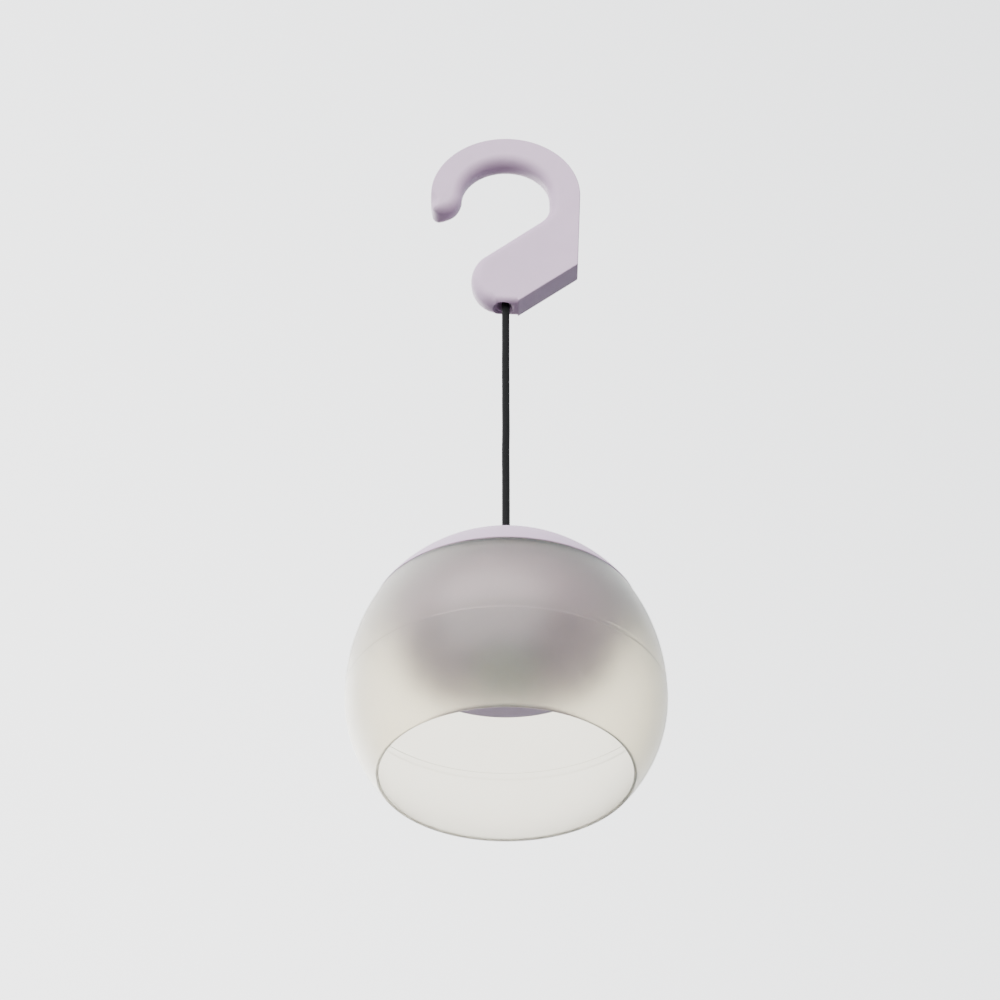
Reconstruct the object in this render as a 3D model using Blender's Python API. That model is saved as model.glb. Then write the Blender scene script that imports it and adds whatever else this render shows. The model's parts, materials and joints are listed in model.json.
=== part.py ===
"""Hanging globe camping lantern: a moulded hook, a cord and a rechargeable globe, as separate solids.

Units are metres, +Z is up and the front faces -Y. The origin is the hook's saddle, where the hook
rests on whatever it hangs from. The lantern's own pieces are placed from the globe's equator plane.
"""

import math

import bmesh
import bpy
from mathutils import Vector

MM = 0.001
GAP = 0.3 * MM  # between pieces that touch
OVERCUT = 1.0 * MM  # how far a cutter reaches past what it cuts

# ---- Hook: X across, Z up, Y through its thickness -------------------------------------------
HOOK_DEPTH = 10.7 * MM
BIGHT_RADIUS = 18.2 * MM  # the opening that takes a pole
CROWN_RADIUS = 31.0 * MM  # outside of the arch
CROWN_CENTRE_Z = -18.0 * MM
CROWN_START = -3.0  # where the arch leaves the straight side, in degrees
SOFT_ANGLE = 172.0  # where its crisp edge begins to soften towards the tip
TIP_ANGLE = 190.4  # where it meets the tip's outer corner
TIP_RADIUS = 3.3 * MM  # of that corner
TIP_CONTROL = (-19.8 * MM, -26.3 * MM)  # pulls the tip's inner corner
ELBOW_RADIUS = 11.0 * MM  # inner corner between the side and the arm
ELBOW_TOP_Z = -22.7 * MM
ARM_SLOPE = 39.1  # inner edge of the arm, in degrees
NOSE_CENTRE = (-3.8 * MM, -61.7 * MM)  # rounded lower left end
NOSE_ACROSS = 10.2 * MM
NOSE_DOWN = 13.5 * MM
FACET_Z = NOSE_CENTRE[1] - NOSE_DOWN  # small flat face that the cord leaves
FACET_RIGHT_X = 5.2 * MM
SIDE_BOTTOM = (29.5 * MM, -56.0 * MM)
HOOK_ROUNDING = 4.6 * MM  # inner edges and nose
TIP_ROUNDING = 3.1 * MM  # edges at the tip's outer corner
CRISP_FRONT = 0.5 * MM  # rounding of the outer edges, front and back
CRISP_BACK = 1.1 * MM
ROUNDING_GROWTH = 0.6  # of the rounding, for each length along the outline past a crisp stretch
ROUNDING_STEPS = 3
LEAST_MITRE = 0.75  # keeps the inset from running far in at a sharp corner
BORE_RADIUS = 2.0 * MM
FUNNEL_RADIUS = 3.4 * MM
FUNNEL_SHIFT_X = -1.2 * MM  # the funnel's mouth is off the cord's line
FUNNEL_TOP_Z = FACET_Z + 4.5 * MM
POCKET_RADIUS = 3.8 * MM  # stopper knot's pocket, open at the arm's top edge
POCKET_FLOOR_Z = -56.0 * MM
POCKET_TOP_Z = -34.0 * MM

# ---- Cord ------------------------------------------------------------------------------------
CORD_DIAMETER = 3.0 * MM
CORD_RADIUS = CORD_DIAMETER / 2
KNOT_RADIUS = 3.3 * MM
KNOT_HEIGHT = 5.8 * MM
PIVOT_RISE = CORD_RADIUS + GAP  # a flat cord end stops this far from the pivot that it faces
UPPER_LENGTH = 6.0 * MM  # between the two pivots at the hook
END_LENGTH = 6.0 * MM  # between the two pivots at the cap
CAP_PIVOT_RISE = 0.4 * MM  # of the lower pivot, over the cap
WASHER_BORE = 1.9 * MM
WASHER_RADIUS = 4.6 * MM
WASHER_THICKNESS = 0.8 * MM

# ---- Inner housing: from here on, heights are from the globe's equator plane --------------------
EQUATOR_Z = -259.0 * MM  # of the globe, below the saddle
HOUSING_FLOOR_Z = 13.5 * MM
HOUSING_WALL = 2.0 * MM
HOUSING_RADIUS = 42.0 * MM
HOUSING_CORNER = 3.0 * MM
HOUSING_RIM_Z = 32.7 * MM
HOUSING_RIM_RADIUS = 48.0 * MM
LENS_RADIUS = 13.0 * MM
LENS_BOTTOM_Z = 0.0
LENS_WALL = 1.5 * MM
LENS_FILLET = 5.5 * MM
LENS_CROWN = 0.8 * MM  # rise from the middle to the fillet
LENS_FLANGE = 14.6 * MM
SCREW_RING = 34.0 * MM
WELL_TOP_Z = 21.7 * MM
WELL_RADIUS = 3.4 * MM
SLEEVE_RADIUS = 4.4 * MM
EAR_POST = (2.6 * MM, 18.7 * MM)  # radius and top of a post under the battery holder
LED_POST = 2.2 * MM
RIM_UNDERSIDE_Z = HOUSING_RIM_Z - 1.6 * MM
RIM_INNER_RADIUS = 44.4 * MM
SHOULDER_RADIUS = 46.3 * MM  # top of the side wall, under the rim
M3_HOLE = 1.7 * MM
M2_HOLE = 1.2 * MM

# ---- Globe -----------------------------------------------------------------------------------
CAP_RADIUS = 60.0 * MM
CAP_CENTRE_Z = 2.2 * MM
CAP_WALL = 2.2 * MM
CAP_EDGE_Z = 34.9 * MM
UPPER_ARC = (-13.4 * MM, -2.2 * MM, 73.4 * MM)  # centre radius, centre height, radius
LOWER_ARC = (8.65 * MM, -3.2 * MM, 51.45 * MM)
SHADE_WALL = 1.2 * MM
MOUTH_Z = -36.7 * MM
SEAM_OUTER_Z = -2.6 * MM  # the lap joint's line outside
SEAM_INNER_Z = -0.05 * MM  # and inside
LAP_SKIN = 0.45 * MM
SHADE_TOP_Z = 34.5 * MM
SHADE_FLANGE = 1.5 * MM
SHADE_FLANGE_INNER = 46.4 * MM
CAP_BORE = 2.1 * MM
CAP_FUNNEL = 3.4 * MM
CAP_BOSS_RADIUS = 7.0 * MM
CAP_BOSS_Z = 52.0 * MM
CAP_BORE_DEPTH = 4.5 * MM  # of the flare, below the pole
CAP_POLE_Z = CAP_CENTRE_Z + CAP_RADIUS
CAP_STEP_Z = CAP_EDGE_Z + 3.3 * MM  # top of the thick edge
LAND_RADIUS = 49.2 * MM  # inner edge of the face that meets the shade
GROOVE_Z = CAP_EDGE_Z + 1.1 * MM
SKIRT_RADIUS = 46.6 * MM  # inside of the thick edge
SCREW_POST = 4.2 * MM
SCREW_POST_LOW = HOUSING_RIM_Z + 0.5 * MM
SCREW_HOLE_TOP = 43.0 * MM
BOARD_POST = 2.2 * MM
BOARD_HOLE = (40.0 * MM, 47.0 * MM)  # bottom and top
PORT_BLOCK = ((-9.0 * MM, 37.5 * MM, 38.6 * MM), (9.0 * MM, 47.0 * MM, 47.5 * MM))
PORT_WINDOW = ((-4.75 * MM, 36.0 * MM, 41.4 * MM), (4.75 * MM, 50.0 * MM, 45.2 * MM))
STAKE_RADIUS = 1.6 * MM
STAKE_ENDS = (-11.0 * MM, -1.6 * MM)
GASKET = (46.9 * MM, 48.9 * MM)  # inner and outer radius
GASKET_RISE = 0.8 * MM  # into the cap's groove

# ---- Power, light and control ------------------------------------------------------------------
M3_SCREW = (2.9 * MM, 2.4 * MM, 1.4 * MM)  # head radius, head height and shank radius
M2_SCREW = (1.9 * MM, 1.3 * MM, 0.9 * MM)
HOLDER_BOTTOM_Z = 19.0 * MM
HOLDER_HALF = (36.0 * MM, 10.9 * MM)
EAR_Z = (19.2 * MM, 20.8 * MM)  # underside and top of the holder's ears
EAR_HALF = 3.6 * MM
BAY_HALF = 34.6 * MM  # half the length of the cell's bay
CELL_NUB = (3.0 * MM, 0.9 * MM)  # radius and rise of the cell's positive end
CELL_RADIUS = 9.2 * MM
CELL_LENGTH = 65.0 * MM
CELL_Z = 29.9 * MM
LED_BOARD_Z = 17.1 * MM
LED_RING = 6.5 * MM
LED_COUNT = 6
LED_BOARD_RADIUS = 19.6 * MM
LED_HALF = 1.6 * MM
LED_HEIGHT = 0.7 * MM
BOARD_THICKNESS = 1.2 * MM
CHIP_BEVEL = 0.15 * MM
SOCKET_Z = 43.3 * MM
SOCKET_SIZE = (8.94 * MM, 7.3 * MM, 3.26 * MM)  # the USB-C shell's width, depth and height
SOCKET_CORNER = 1.3 * MM
SOCKET_WALL = 0.35 * MM
SOCKET_TONGUE = 3.3 * MM  # half its width
BOARD_HALF = 15.5 * MM
BOARD_Y = (5.5 * MM, 37.2 * MM)
PORT_WALL_Y = 41.0 * MM  # upright wall of the notch that holds the flap
NOTCH_FLOOR_Z = 40.0 * MM
NOTCH_HALF = 7.0 * MM
NOTCH_TOP_Z = 52.0 * MM  # clear of the cap's surface
FLAP_PIVOT = (46.2 * MM, 40.9 * MM)  # Y and height of the flap's hinge line
BUTTON_Y = 24.0 * MM
BUTTON_RADIUS = 5.2 * MM
BUTTON_FLANGE = 6.6 * MM
BUTTON_PLAY = 0.35 * MM
BUTTON_SEAT = -3.8 * MM  # heights along the button's axis, from the cap's surface
BUTTON_UNDER = -4.9 * MM
BUTTON_FOOT = -6.6 * MM
PLUNGER_TOP = -7.7 * MM
SWITCH_TOP = -8.3 * MM
SWITCH_BOTTOM = -11.0 * MM
PLUNGER_RADIUS = 1.6 * MM
BUTTON_TILT = math.asin(BUTTON_Y / CAP_RADIUS)

ROUND_STEPS = 40
SMALL_STEPS = 12
PIN_STEPS = 8
SHARP_ANGLE = math.radians(35)
WELD = 1e-6


# ---- Helpers -----------------------------------------------------------------------------------
def clear_scene():
    """Removes what the scene holds already."""
    for item in list(bpy.data.objects):
        bpy.data.objects.remove(item, do_unlink=True)


def material(name, colour, roughness, metallic=0.0, transmission=0.0):
    """A Principled material with one colour."""
    made = bpy.data.materials.new(name)
    made.use_nodes = True
    shader = made.node_tree.nodes["Principled BSDF"]
    shader.inputs["Base Color"].default_value = (*colour, 1.0)
    shader.inputs["Roughness"].default_value = roughness
    shader.inputs["Metallic"].default_value = metallic
    shader.inputs["Transmission Weight"].default_value = transmission
    made.diffuse_color = (*colour, 1.0)
    return made


def empty(name, location, parent=None, tilt=0.0):
    """A guide that pieces are parented to; tilt turns it about X."""
    guide = bpy.data.objects.new(name, None)
    bpy.context.collection.objects.link(guide)
    guide.location = location
    guide.rotation_euler = (tilt, 0.0, 0.0)
    guide.parent = parent
    return guide


def place(name, bm, finish, parent=None, location=(0.0, 0.0, 0.0)):
    """Makes an object from a bmesh, shaded smooth with sharp corners."""
    bmesh.ops.recalc_face_normals(bm, faces=bm.faces)
    mesh = bpy.data.meshes.new(name)
    bm.to_mesh(mesh)
    bm.free()
    mesh.shade_smooth()
    mesh.set_sharp_from_angle(angle=SHARP_ANGLE)
    piece = bpy.data.objects.new(name, mesh)
    bpy.context.collection.objects.link(piece)
    if finish is not None:
        mesh.materials.append(finish)
    piece.location = location
    piece.parent = parent
    return piece


def arc(centre, radius, start, stop, count):
    """Points on an arc, from start to stop in degrees."""
    turns = [math.radians(start + (stop - start) * i / (count - 1)) for i in range(count)]
    return [(centre[0] + radius * math.cos(t), centre[1] + radius * math.sin(t)) for t in turns]


def radius_at(curve, height):
    """Radius of one of the globe's arcs at a height."""
    centre_r, centre_z, radius = curve
    return centre_r + math.sqrt(radius**2 - (height - centre_z) ** 2)


def arc_rings(curve, low, high, count, inset=0.0):
    """Outline points on one of the globe's arcs between two heights, moved in by inset."""
    centre_r, centre_z, radius = curve
    narrowed = (centre_r, centre_z, radius - inset)
    heights = [low + (high - low) * i / (count - 1) for i in range(count)]
    return [(radius_at(narrowed, z), z) for z in heights]


def turn_into(bm, outline, steps):
    """Adds an outline of (radius, height) turned about Z; one that ends on the axis stays open."""
    ring = [bm.verts.new((r, 0.0, z)) for r, z in outline]
    edges = [bm.edges.new(pair) for pair in zip(ring, ring[1:])]
    if outline[0][0] > WELD or outline[-1][0] > WELD:
        edges.append(bm.edges.new((ring[-1], ring[0])))
    bmesh.ops.spin(
        bm, geom=ring + edges, axis=(0, 0, 1), cent=(0, 0, 0), angle=math.tau, steps=steps,
        use_merge=True,
    )
    bmesh.ops.remove_doubles(bm, verts=bm.verts, dist=WELD)


def turned(name, outline, steps, finish, parent=None, location=(0.0, 0.0, 0.0)):
    """A turned piece."""
    bm = bmesh.new()
    turn_into(bm, outline, steps)
    return place(name, bm, finish, parent, location)


def add_rod(bm, x, y, low, high, radius, steps=SMALL_STEPS):
    """Adds an upright cylinder."""
    made = bmesh.ops.create_cone(
        bm, cap_ends=True, segments=steps, radius1=radius, radius2=radius, depth=high - low
    )
    bmesh.ops.translate(bm, verts=made["verts"], vec=(x, y, (low + high) / 2))


def add_block(bm, low, high):
    """Adds a box between two corners."""
    made = bmesh.ops.create_cube(bm, size=1.0)
    size = Vector(high) - Vector(low)
    bmesh.ops.scale(bm, verts=made["verts"], vec=size)
    bmesh.ops.translate(bm, verts=made["verts"], vec=(Vector(low) + Vector(high)) / 2)


def block(name, low, high, finish, parent, bevel=0.0):
    """A box-shaped piece with lightly broken edges."""
    bm = bmesh.new()
    add_block(bm, low, high)
    if bevel:
        bmesh.ops.bevel(bm, geom=bm.edges[:], offset=bevel, segments=1, affect="EDGES")
    return place(name, bm, finish, parent)


def tool(name, bm, parent=None, location=(0.0, 0.0, 0.0)):
    """A shape that only cuts or joins, and isn't a piece."""
    made = place(name, bm, None, parent, location)
    made.hide_render = True
    made.display_type = "WIRE"
    return made


def combine(piece, other, operation):
    """Cuts, joins or trims a piece with another shape."""
    step = piece.modifiers.new(f"{operation.lower()}_{other.name}", "BOOLEAN")
    step.operation = operation
    step.solver = "EXACT"
    step.object = other


def smooth_route(points, count):
    """Evenly parametrised points on a Catmull-Rom curve through the route's own points."""
    route = [Vector(p) for p in points]
    padded = [2 * route[0] - route[1], *route, 2 * route[-1] - route[-2]]
    read = []
    for i in range(count):
        place_on = i * (len(route) - 1) / (count - 1)
        span = min(int(place_on), len(route) - 2)
        t = place_on - span
        a, b, c, d = padded[span : span + 4]
        read.append(
            0.5 * (2 * b + (c - a) * t + (2 * a - 5 * b + 4 * c - d) * t**2
                   + (3 * b - a - 3 * c + d) * t**3)
        )
    return read


def tube(name, points, radius, finish, parent=None, location=(0.0, 0.0, 0.0), swell=None):
    """A round tube with filled ends along points; swell gives each point's share of the radius."""
    curve = bpy.data.curves.new(name, "CURVE")
    curve.dimensions = "3D"
    curve.bevel_depth = radius
    curve.bevel_resolution = 2
    curve.use_fill_caps = True
    spline = curve.splines.new("POLY")
    spline.points.add(len(points) - 1)
    for i, point in enumerate(points):
        spline.points[i].co = (*point, 1.0)
        spline.points[i].radius = swell[i] if swell else 1.0
    made = bpy.data.objects.new(name, curve)
    bpy.context.collection.objects.link(made)
    curve.materials.append(finish)
    made.location = location
    made.parent = parent
    return made


# ---- Hook --------------------------------------------------------------------------------------
def hook_outline():
    """The hook's outline from the front, and each point's largest rounding, or None if it is crisp."""
    arm = math.radians(ARM_SLOPE)
    soft = arc((0.0, -BIGHT_RADIUS), BIGHT_RADIUS, 180, 0, 19)
    elbow = (BIGHT_RADIUS - ELBOW_RADIUS, ELBOW_TOP_Z)
    soft += arc(elbow, ELBOW_RADIUS, 0, ARM_SLOPE - 90, 6)
    join = math.pi / 2 + math.atan(math.tan(arm) * NOSE_ACROSS / NOSE_DOWN)
    nose_steps = 11
    for i in range(nose_steps):
        turn = join + (1.5 * math.pi - join) * i / (nose_steps - 1)
        soft.append(
            (NOSE_CENTRE[0] + NOSE_ACROSS * math.cos(turn), NOSE_CENTRE[1] + NOSE_DOWN * math.sin(turn))
        )
    crown_centre = (0.0, CROWN_CENTRE_Z)
    crisp = [(FACET_RIGHT_X, FACET_Z), SIDE_BOTTOM]
    crisp += arc(crown_centre, CROWN_RADIUS, CROWN_START, SOFT_ANGLE, 21)
    fading = arc(crown_centre, CROWN_RADIUS, SOFT_ANGLE, TIP_ANGLE, 5)[1:-1]
    turn = math.radians(TIP_ANGLE)
    reach = CROWN_RADIUS - TIP_RADIUS
    tip_centre = (reach * math.cos(turn), CROWN_CENTRE_Z + reach * math.sin(turn))
    corner = arc(tip_centre, TIP_RADIUS, TIP_ANGLE, 270, 5)
    tip = between(corner[-1], TIP_CONTROL, soft[0], 6)
    points = soft + crisp + fading + corner + tip
    largest = [HOOK_ROUNDING] * len(soft) + [None] * len(crisp) + [HOOK_ROUNDING] * len(fading)
    largest += [TIP_ROUNDING] * len(corner) + [HOOK_ROUNDING] * len(tip)
    return points, largest


def between(start, control, end, count):
    """Points inside a quadratic curve from start to end."""
    start, control, end = Vector(start), Vector(control), Vector(end)
    shares = [i / (count + 1) for i in range(1, count + 1)]
    return [tuple(start * (1 - t) ** 2 + control * 2 * t * (1 - t) + end * t**2) for t in shares]


def edge_radii(points, largest, crisp):
    """Each point's rounding, which grows steadily along the outline away from a smaller one."""
    radii = [crisp if limit is None else limit for limit in largest]
    count = len(points)
    for step in (1, -1):
        for i in range(0, step * 2 * count, step):
            here, before = i % count, (i - step) % count
            length = (Vector(points[here]) - Vector(points[before])).length
            radii[here] = min(radii[here], radii[before] + ROUNDING_GROWTH * length)
    return radii


def inward_normals(points):
    """A direction into the outline at each point, longer where the outline turns a corner."""
    normals = []
    for i, point in enumerate(points):
        before = (Vector(point) - Vector(points[i - 1])).normalized()
        after = (Vector(points[(i + 1) % len(points)]) - Vector(point)).normalized()
        along = (before + after).normalized()
        stretch = max(along.dot(after), LEAST_MITRE)
        normals.append(Vector((-along.y, along.x)) / stretch)
    return normals


def make_hook(finish):
    """One moulding: a flat outline with rounded inner edges, and a bore for the cord."""
    points, largest = hook_outline()
    normals = inward_normals(points)
    bm = bmesh.new()
    rings = []
    for side, crisp in ((-1, CRISP_FRONT), (1, CRISP_BACK)):
        radii = edge_radii(points, largest, crisp)
        quarter = [math.pi / 2 * i / ROUNDING_STEPS for i in range(ROUNDING_STEPS + 1)]
        if side > 0:
            quarter.reverse()
        for turn in quarter:
            ring = []
            for point, normal, radius in zip(points, normals, radii):
                moved = Vector(point) + normal * radius * (1 - math.sin(turn))
                depth = HOOK_DEPTH / 2 - radius * (1 - math.cos(turn))
                ring.append(bm.verts.new((moved.x, side * depth, moved.y)))
            rings.append(ring)
    bm.faces.new(rings[0])
    bm.faces.new(rings[-1])
    for ring, following in zip(rings, rings[1:]):
        for i in range(len(points)):
            after = (i + 1) % len(points)
            bm.faces.new((ring[i], ring[after], following[after], following[i]))
    hook = place("hook", bm, finish)

    cutter = bmesh.new()
    turn_into(
        cutter,
        [
            (0.0, POCKET_TOP_Z),
            (POCKET_RADIUS, POCKET_TOP_Z),
            (POCKET_RADIUS, POCKET_FLOOR_Z),
            (BORE_RADIUS, POCKET_FLOOR_Z),
            (BORE_RADIUS, FUNNEL_TOP_Z),
            (FUNNEL_RADIUS, FACET_Z - GAP),
            (0.0, FACET_Z - GAP),
        ],
        16,
    )
    mouth = [v for v in cutter.verts if v.co.z < FACET_Z]
    bmesh.ops.translate(cutter, verts=mouth, vec=(FUNNEL_SHIFT_X, 0.0, 0.0))
    combine(hook, tool("cord_bore_cutter", cutter), "DIFFERENCE")


# ---- Cord --------------------------------------------------------------------------------------
def knot_outline(low, high):
    """A stopper knot's outline, as two turns of cord pressed together."""
    middle = (low + high) / 2
    quarter = (high - low) / 4
    lobe = KNOT_RADIUS - quarter
    upper = arc((lobe, middle + quarter), quarter, 90, -60, 4)
    lower = arc((lobe, middle - quarter), quarter, 60, -90, 4)
    return upper + lower


def make_upper_knot(finish, pivot_z):
    """The knot in the hook's pocket, with the stub of cord in the bore below it."""
    low = POCKET_FLOOR_Z + GAP
    stub_end = pivot_z + PIVOT_RISE
    outline = [(0.0, low + KNOT_HEIGHT), *knot_outline(low, low + KNOT_HEIGHT)]
    outline += [(CORD_RADIUS, low), (CORD_RADIUS, stub_end), (0.0, stub_end)]
    turned("upper_knot", outline, SMALL_STEPS, finish)


def make_lower_knot(finish, pivot_z, washer_z):
    """The knot under the washer, with the stub of cord in the cap's bore above it."""
    high = washer_z - GAP
    low = high - KNOT_HEIGHT
    stub_end = pivot_z - PIVOT_RISE
    local = [(0.0, stub_end), (CORD_RADIUS, stub_end), (CORD_RADIUS, high)]
    local += knot_outline(low, high) + [(0.0, low)]
    outline = [(r, z - pivot_z) for r, z in local]
    turned("lower_knot", outline, SMALL_STEPS, finish, None, (0.0, 0.0, pivot_z))


def dome_end():
    """Heights past a pivot, and the radius shares there, of a cord's rounded end."""
    turns = [math.radians(a) for a in (15, 35, 60, 90)]
    return [(CORD_RADIUS * math.cos(t), math.sin(t)) for t in turns]


def make_cord_stretch(name, finish, top, bottom, origin, dome_top, dome_bottom, spans):
    """One stretch of the cord; a domed end is round about the pivot there, a flat end stops short."""
    points, swell = [], []
    if dome_top:
        for rise, share in dome_end()[:-1]:
            points.append((0.0, 0.0, top + rise - origin))
            swell.append(share)
    for i in range(spans + 1):
        points.append((0.0, 0.0, top + (bottom - top) * i / spans - origin))
        swell.append(1.0)
    if dome_bottom:
        for rise, share in reversed(dome_end()[:-1]):
            points.append((0.0, 0.0, bottom - rise - origin))
            swell.append(share)
    tube(name, points, CORD_RADIUS, finish, None, (0.0, 0.0, origin), swell)


# ---- Cap, shade and housing --------------------------------------------------------------------
def ball(name, radius, steps, parent):
    """A sphere about the cap's centre, for trimming a piece to the cap's shape."""
    bm = bmesh.new()
    bmesh.ops.create_uvsphere(bm, u_segments=steps, v_segments=steps // 2, radius=radius)
    return tool(name, bm, parent, (0.0, 0.0, CAP_CENTRE_Z))


def screw_places():
    """The four housing screws, on the diagonals."""
    turns = [math.radians(45 + 90 * i) for i in range(4)]
    return [(SCREW_RING * math.cos(t), SCREW_RING * math.sin(t)) for t in turns]


BOARD_POSTS = [(-13.0 * MM, 9.0 * MM), (13.0 * MM, 9.0 * MM)]
SWITCH_POST_X = 9.2 * MM


def cap_outline():
    """The cap's wall, edge and cord boss."""
    centre = (0.0, CAP_CENTRE_Z)
    funnel_angle = 90 - math.degrees(math.asin(CAP_FUNNEL / CAP_RADIUS))
    edge_angle = math.degrees(math.asin((CAP_EDGE_Z - CAP_CENTRE_Z) / CAP_RADIUS))
    inner = CAP_RADIUS - CAP_WALL
    step_angle = math.degrees(math.asin((CAP_STEP_Z - CAP_CENTRE_Z) / inner))
    boss_angle = 90 - math.degrees(math.asin(CAP_BOSS_RADIUS / inner))
    outline = arc(centre, CAP_RADIUS, funnel_angle, edge_angle, 9)
    outline += [(LAND_RADIUS, CAP_EDGE_Z), (LAND_RADIUS, GROOVE_Z)]
    outline += [(SKIRT_RADIUS, GROOVE_Z), (SKIRT_RADIUS, CAP_STEP_Z)]
    outline += arc(centre, inner, step_angle, boss_angle, 6)
    outline += [(CAP_BOSS_RADIUS, CAP_BOSS_Z), (CAP_BORE, CAP_BOSS_Z)]
    outline.append((CAP_BORE, CAP_POLE_Z - CAP_BORE_DEPTH))
    return outline


def make_cap(finish, lantern, button_frame):
    """The opaque top cap, with its bosses inside, the button's hole and the notch for the port."""
    cap = turned("top_cap", cap_outline(), ROUND_STEPS, finish, lantern)

    posts = bmesh.new()
    for x, y in screw_places():
        add_rod(posts, x, y, SCREW_POST_LOW, CAP_POLE_Z, SCREW_POST)
    for x, y in BOARD_POSTS:
        add_rod(posts, x, y, SOCKET_Z - SOCKET_SIZE[2] / 2, CAP_POLE_Z, BOARD_POST, PIN_STEPS)
    add_block(posts, *PORT_BLOCK)
    posts = tool("cap_posts", posts, lantern)
    trimmer = ball("cap_trimmer", CAP_RADIUS - CAP_WALL / 2, 24, lantern)
    combine(posts, trimmer, "INTERSECT")
    combine(cap, posts, "UNION")

    stakes = bmesh.new()
    for side in (-1, 1):
        add_rod(stakes, side * SWITCH_POST_X, 0.0, *STAKE_ENDS, STAKE_RADIUS, PIN_STEPS)
    combine(cap, tool("cap_stakes", stakes, button_frame), "UNION")

    holes = bmesh.new()
    for x, y in screw_places():
        add_rod(holes, x, y, HOUSING_RIM_Z, SCREW_HOLE_TOP, M3_HOLE, PIN_STEPS)
    for x, y in BOARD_POSTS:
        add_rod(holes, x, y, *BOARD_HOLE, M2_HOLE, PIN_STEPS)
    add_block(holes, *PORT_WINDOW)
    combine(cap, tool("cap_hole_cutter", holes, lantern), "DIFFERENCE")

    notch = bmesh.new()
    add_block(
        notch, (-NOTCH_HALF, PORT_WALL_Y, NOTCH_FLOOR_Z), (NOTCH_HALF, CAP_RADIUS, NOTCH_TOP_Z)
    )
    combine(cap, tool("notch_cutter", notch, lantern), "DIFFERENCE")

    bore = bmesh.new()
    add_rod(bore, 0.0, 0.0, -CAP_WALL * 2, CAP_WALL * 2, BUTTON_RADIUS + BUTTON_PLAY, 16)
    combine(cap, tool("button_hole_cutter", bore, button_frame), "DIFFERENCE")


def make_gasket(finish, lantern):
    """The silicone ring in the cap's groove, between the cap and the shade's flange."""
    low, high = SHADE_TOP_Z + GAP, CAP_EDGE_Z + GASKET_RISE
    inner, outer = GASKET
    outline = [(inner, high), (outer, high), (outer, low), (inner, low)]
    turned("cap_gasket", outline, ROUND_STEPS, finish, lantern)


def make_shade(finish, lantern):
    """Two half shells with a lap joint: the upper one's skin covers the lower one's tongue."""
    flange_low = SHADE_TOP_Z - SHADE_FLANGE
    upper = arc_rings(UPPER_ARC, SHADE_TOP_Z, SEAM_OUTER_Z + GAP / 2, 7)
    upper += arc_rings(UPPER_ARC, SEAM_OUTER_Z + GAP / 2, SEAM_INNER_Z + GAP / 2, 2, LAP_SKIN)
    upper += arc_rings(UPPER_ARC, SEAM_INNER_Z + GAP / 2, flange_low, 6, SHADE_WALL)
    upper += [(SHADE_FLANGE_INNER, flange_low), (SHADE_FLANGE_INNER, SHADE_TOP_Z)]
    turned("shade_upper", upper, ROUND_STEPS, finish, lantern)

    tongue = LAP_SKIN + GAP
    lower = arc_rings(LOWER_ARC, SEAM_OUTER_Z - GAP / 2, MOUTH_Z, 7)
    lower += arc_rings(LOWER_ARC, MOUTH_Z, SEAM_INNER_Z - GAP / 2, 7, SHADE_WALL)
    lower += arc_rings(LOWER_ARC, SEAM_INNER_Z - GAP / 2, SEAM_OUTER_Z - GAP / 2, 2, tongue)
    turned("shade_lower", lower, ROUND_STEPS, finish, lantern)


HOLDER_EARS = [(25.0 * MM, 14.3 * MM), (-25.0 * MM, -14.3 * MM)]
LED_SCREWS = [(0.0, 17.2 * MM), (0.0, -17.2 * MM)]


def make_housing(finish, lantern):
    """The bowl under the cap that holds the battery and the light, with screw sleeves."""
    floor_top = HOUSING_FLOOR_Z + HOUSING_WALL
    lens_hole = LENS_RADIUS + GAP
    corner = (HOUSING_RADIUS - HOUSING_CORNER, HOUSING_FLOOR_Z + HOUSING_CORNER)
    outline = [(lens_hole, floor_top), (lens_hole, HOUSING_FLOOR_Z)]
    outline += arc(corner, HOUSING_CORNER, -90, -12, 5)
    outline += [(SHOULDER_RADIUS, RIM_UNDERSIDE_Z - 0.1 * MM), (HOUSING_RIM_RADIUS, RIM_UNDERSIDE_Z)]
    outline += [(HOUSING_RIM_RADIUS, HOUSING_RIM_Z), (RIM_INNER_RADIUS, HOUSING_RIM_Z)]
    chamfer = HOUSING_WALL + 0.2 * MM
    inside = HOUSING_RADIUS - HOUSING_WALL
    outline += [(inside, floor_top + chamfer), (inside - 0.9 * chamfer, floor_top)]
    housing = turned("inner_housing", outline, ROUND_STEPS, finish, lantern)

    sleeves = bmesh.new()
    buried = HOUSING_FLOOR_Z + 0.8 * MM
    for x, y in screw_places():
        add_rod(sleeves, x, y, buried, SCREW_POST_LOW - GAP, SLEEVE_RADIUS)
    ear_radius, ear_top = EAR_POST
    for x, y in HOLDER_EARS:
        add_rod(sleeves, x, y, buried, ear_top, ear_radius, PIN_STEPS)
    for x, y in LED_SCREWS:
        add_rod(sleeves, x, y, buried, LED_BOARD_Z - GAP, LED_POST, PIN_STEPS)
    combine(housing, tool("housing_sleeves", sleeves, lantern), "UNION")

    wells = bmesh.new()
    for x, y in screw_places():
        add_rod(wells, x, y, HOUSING_FLOOR_Z - OVERCUT, WELL_TOP_Z, WELL_RADIUS)
    combine(housing, tool("well_cutter", wells, lantern), "DIFFERENCE")
    bores = bmesh.new()
    for x, y in screw_places():
        add_rod(bores, x, y, WELL_TOP_Z - OVERCUT, HOUSING_RIM_Z + OVERCUT, M3_HOLE, PIN_STEPS)
    hole_low = HOUSING_FLOOR_Z + 1.1 * MM  # leaves the floor whole underneath
    for x, y in HOLDER_EARS + LED_SCREWS:
        add_rod(bores, x, y, hole_low, ear_top + OVERCUT, M2_HOLE, PIN_STEPS)
    combine(housing, tool("housing_bore_cutter", bores, lantern), "DIFFERENCE")


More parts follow.
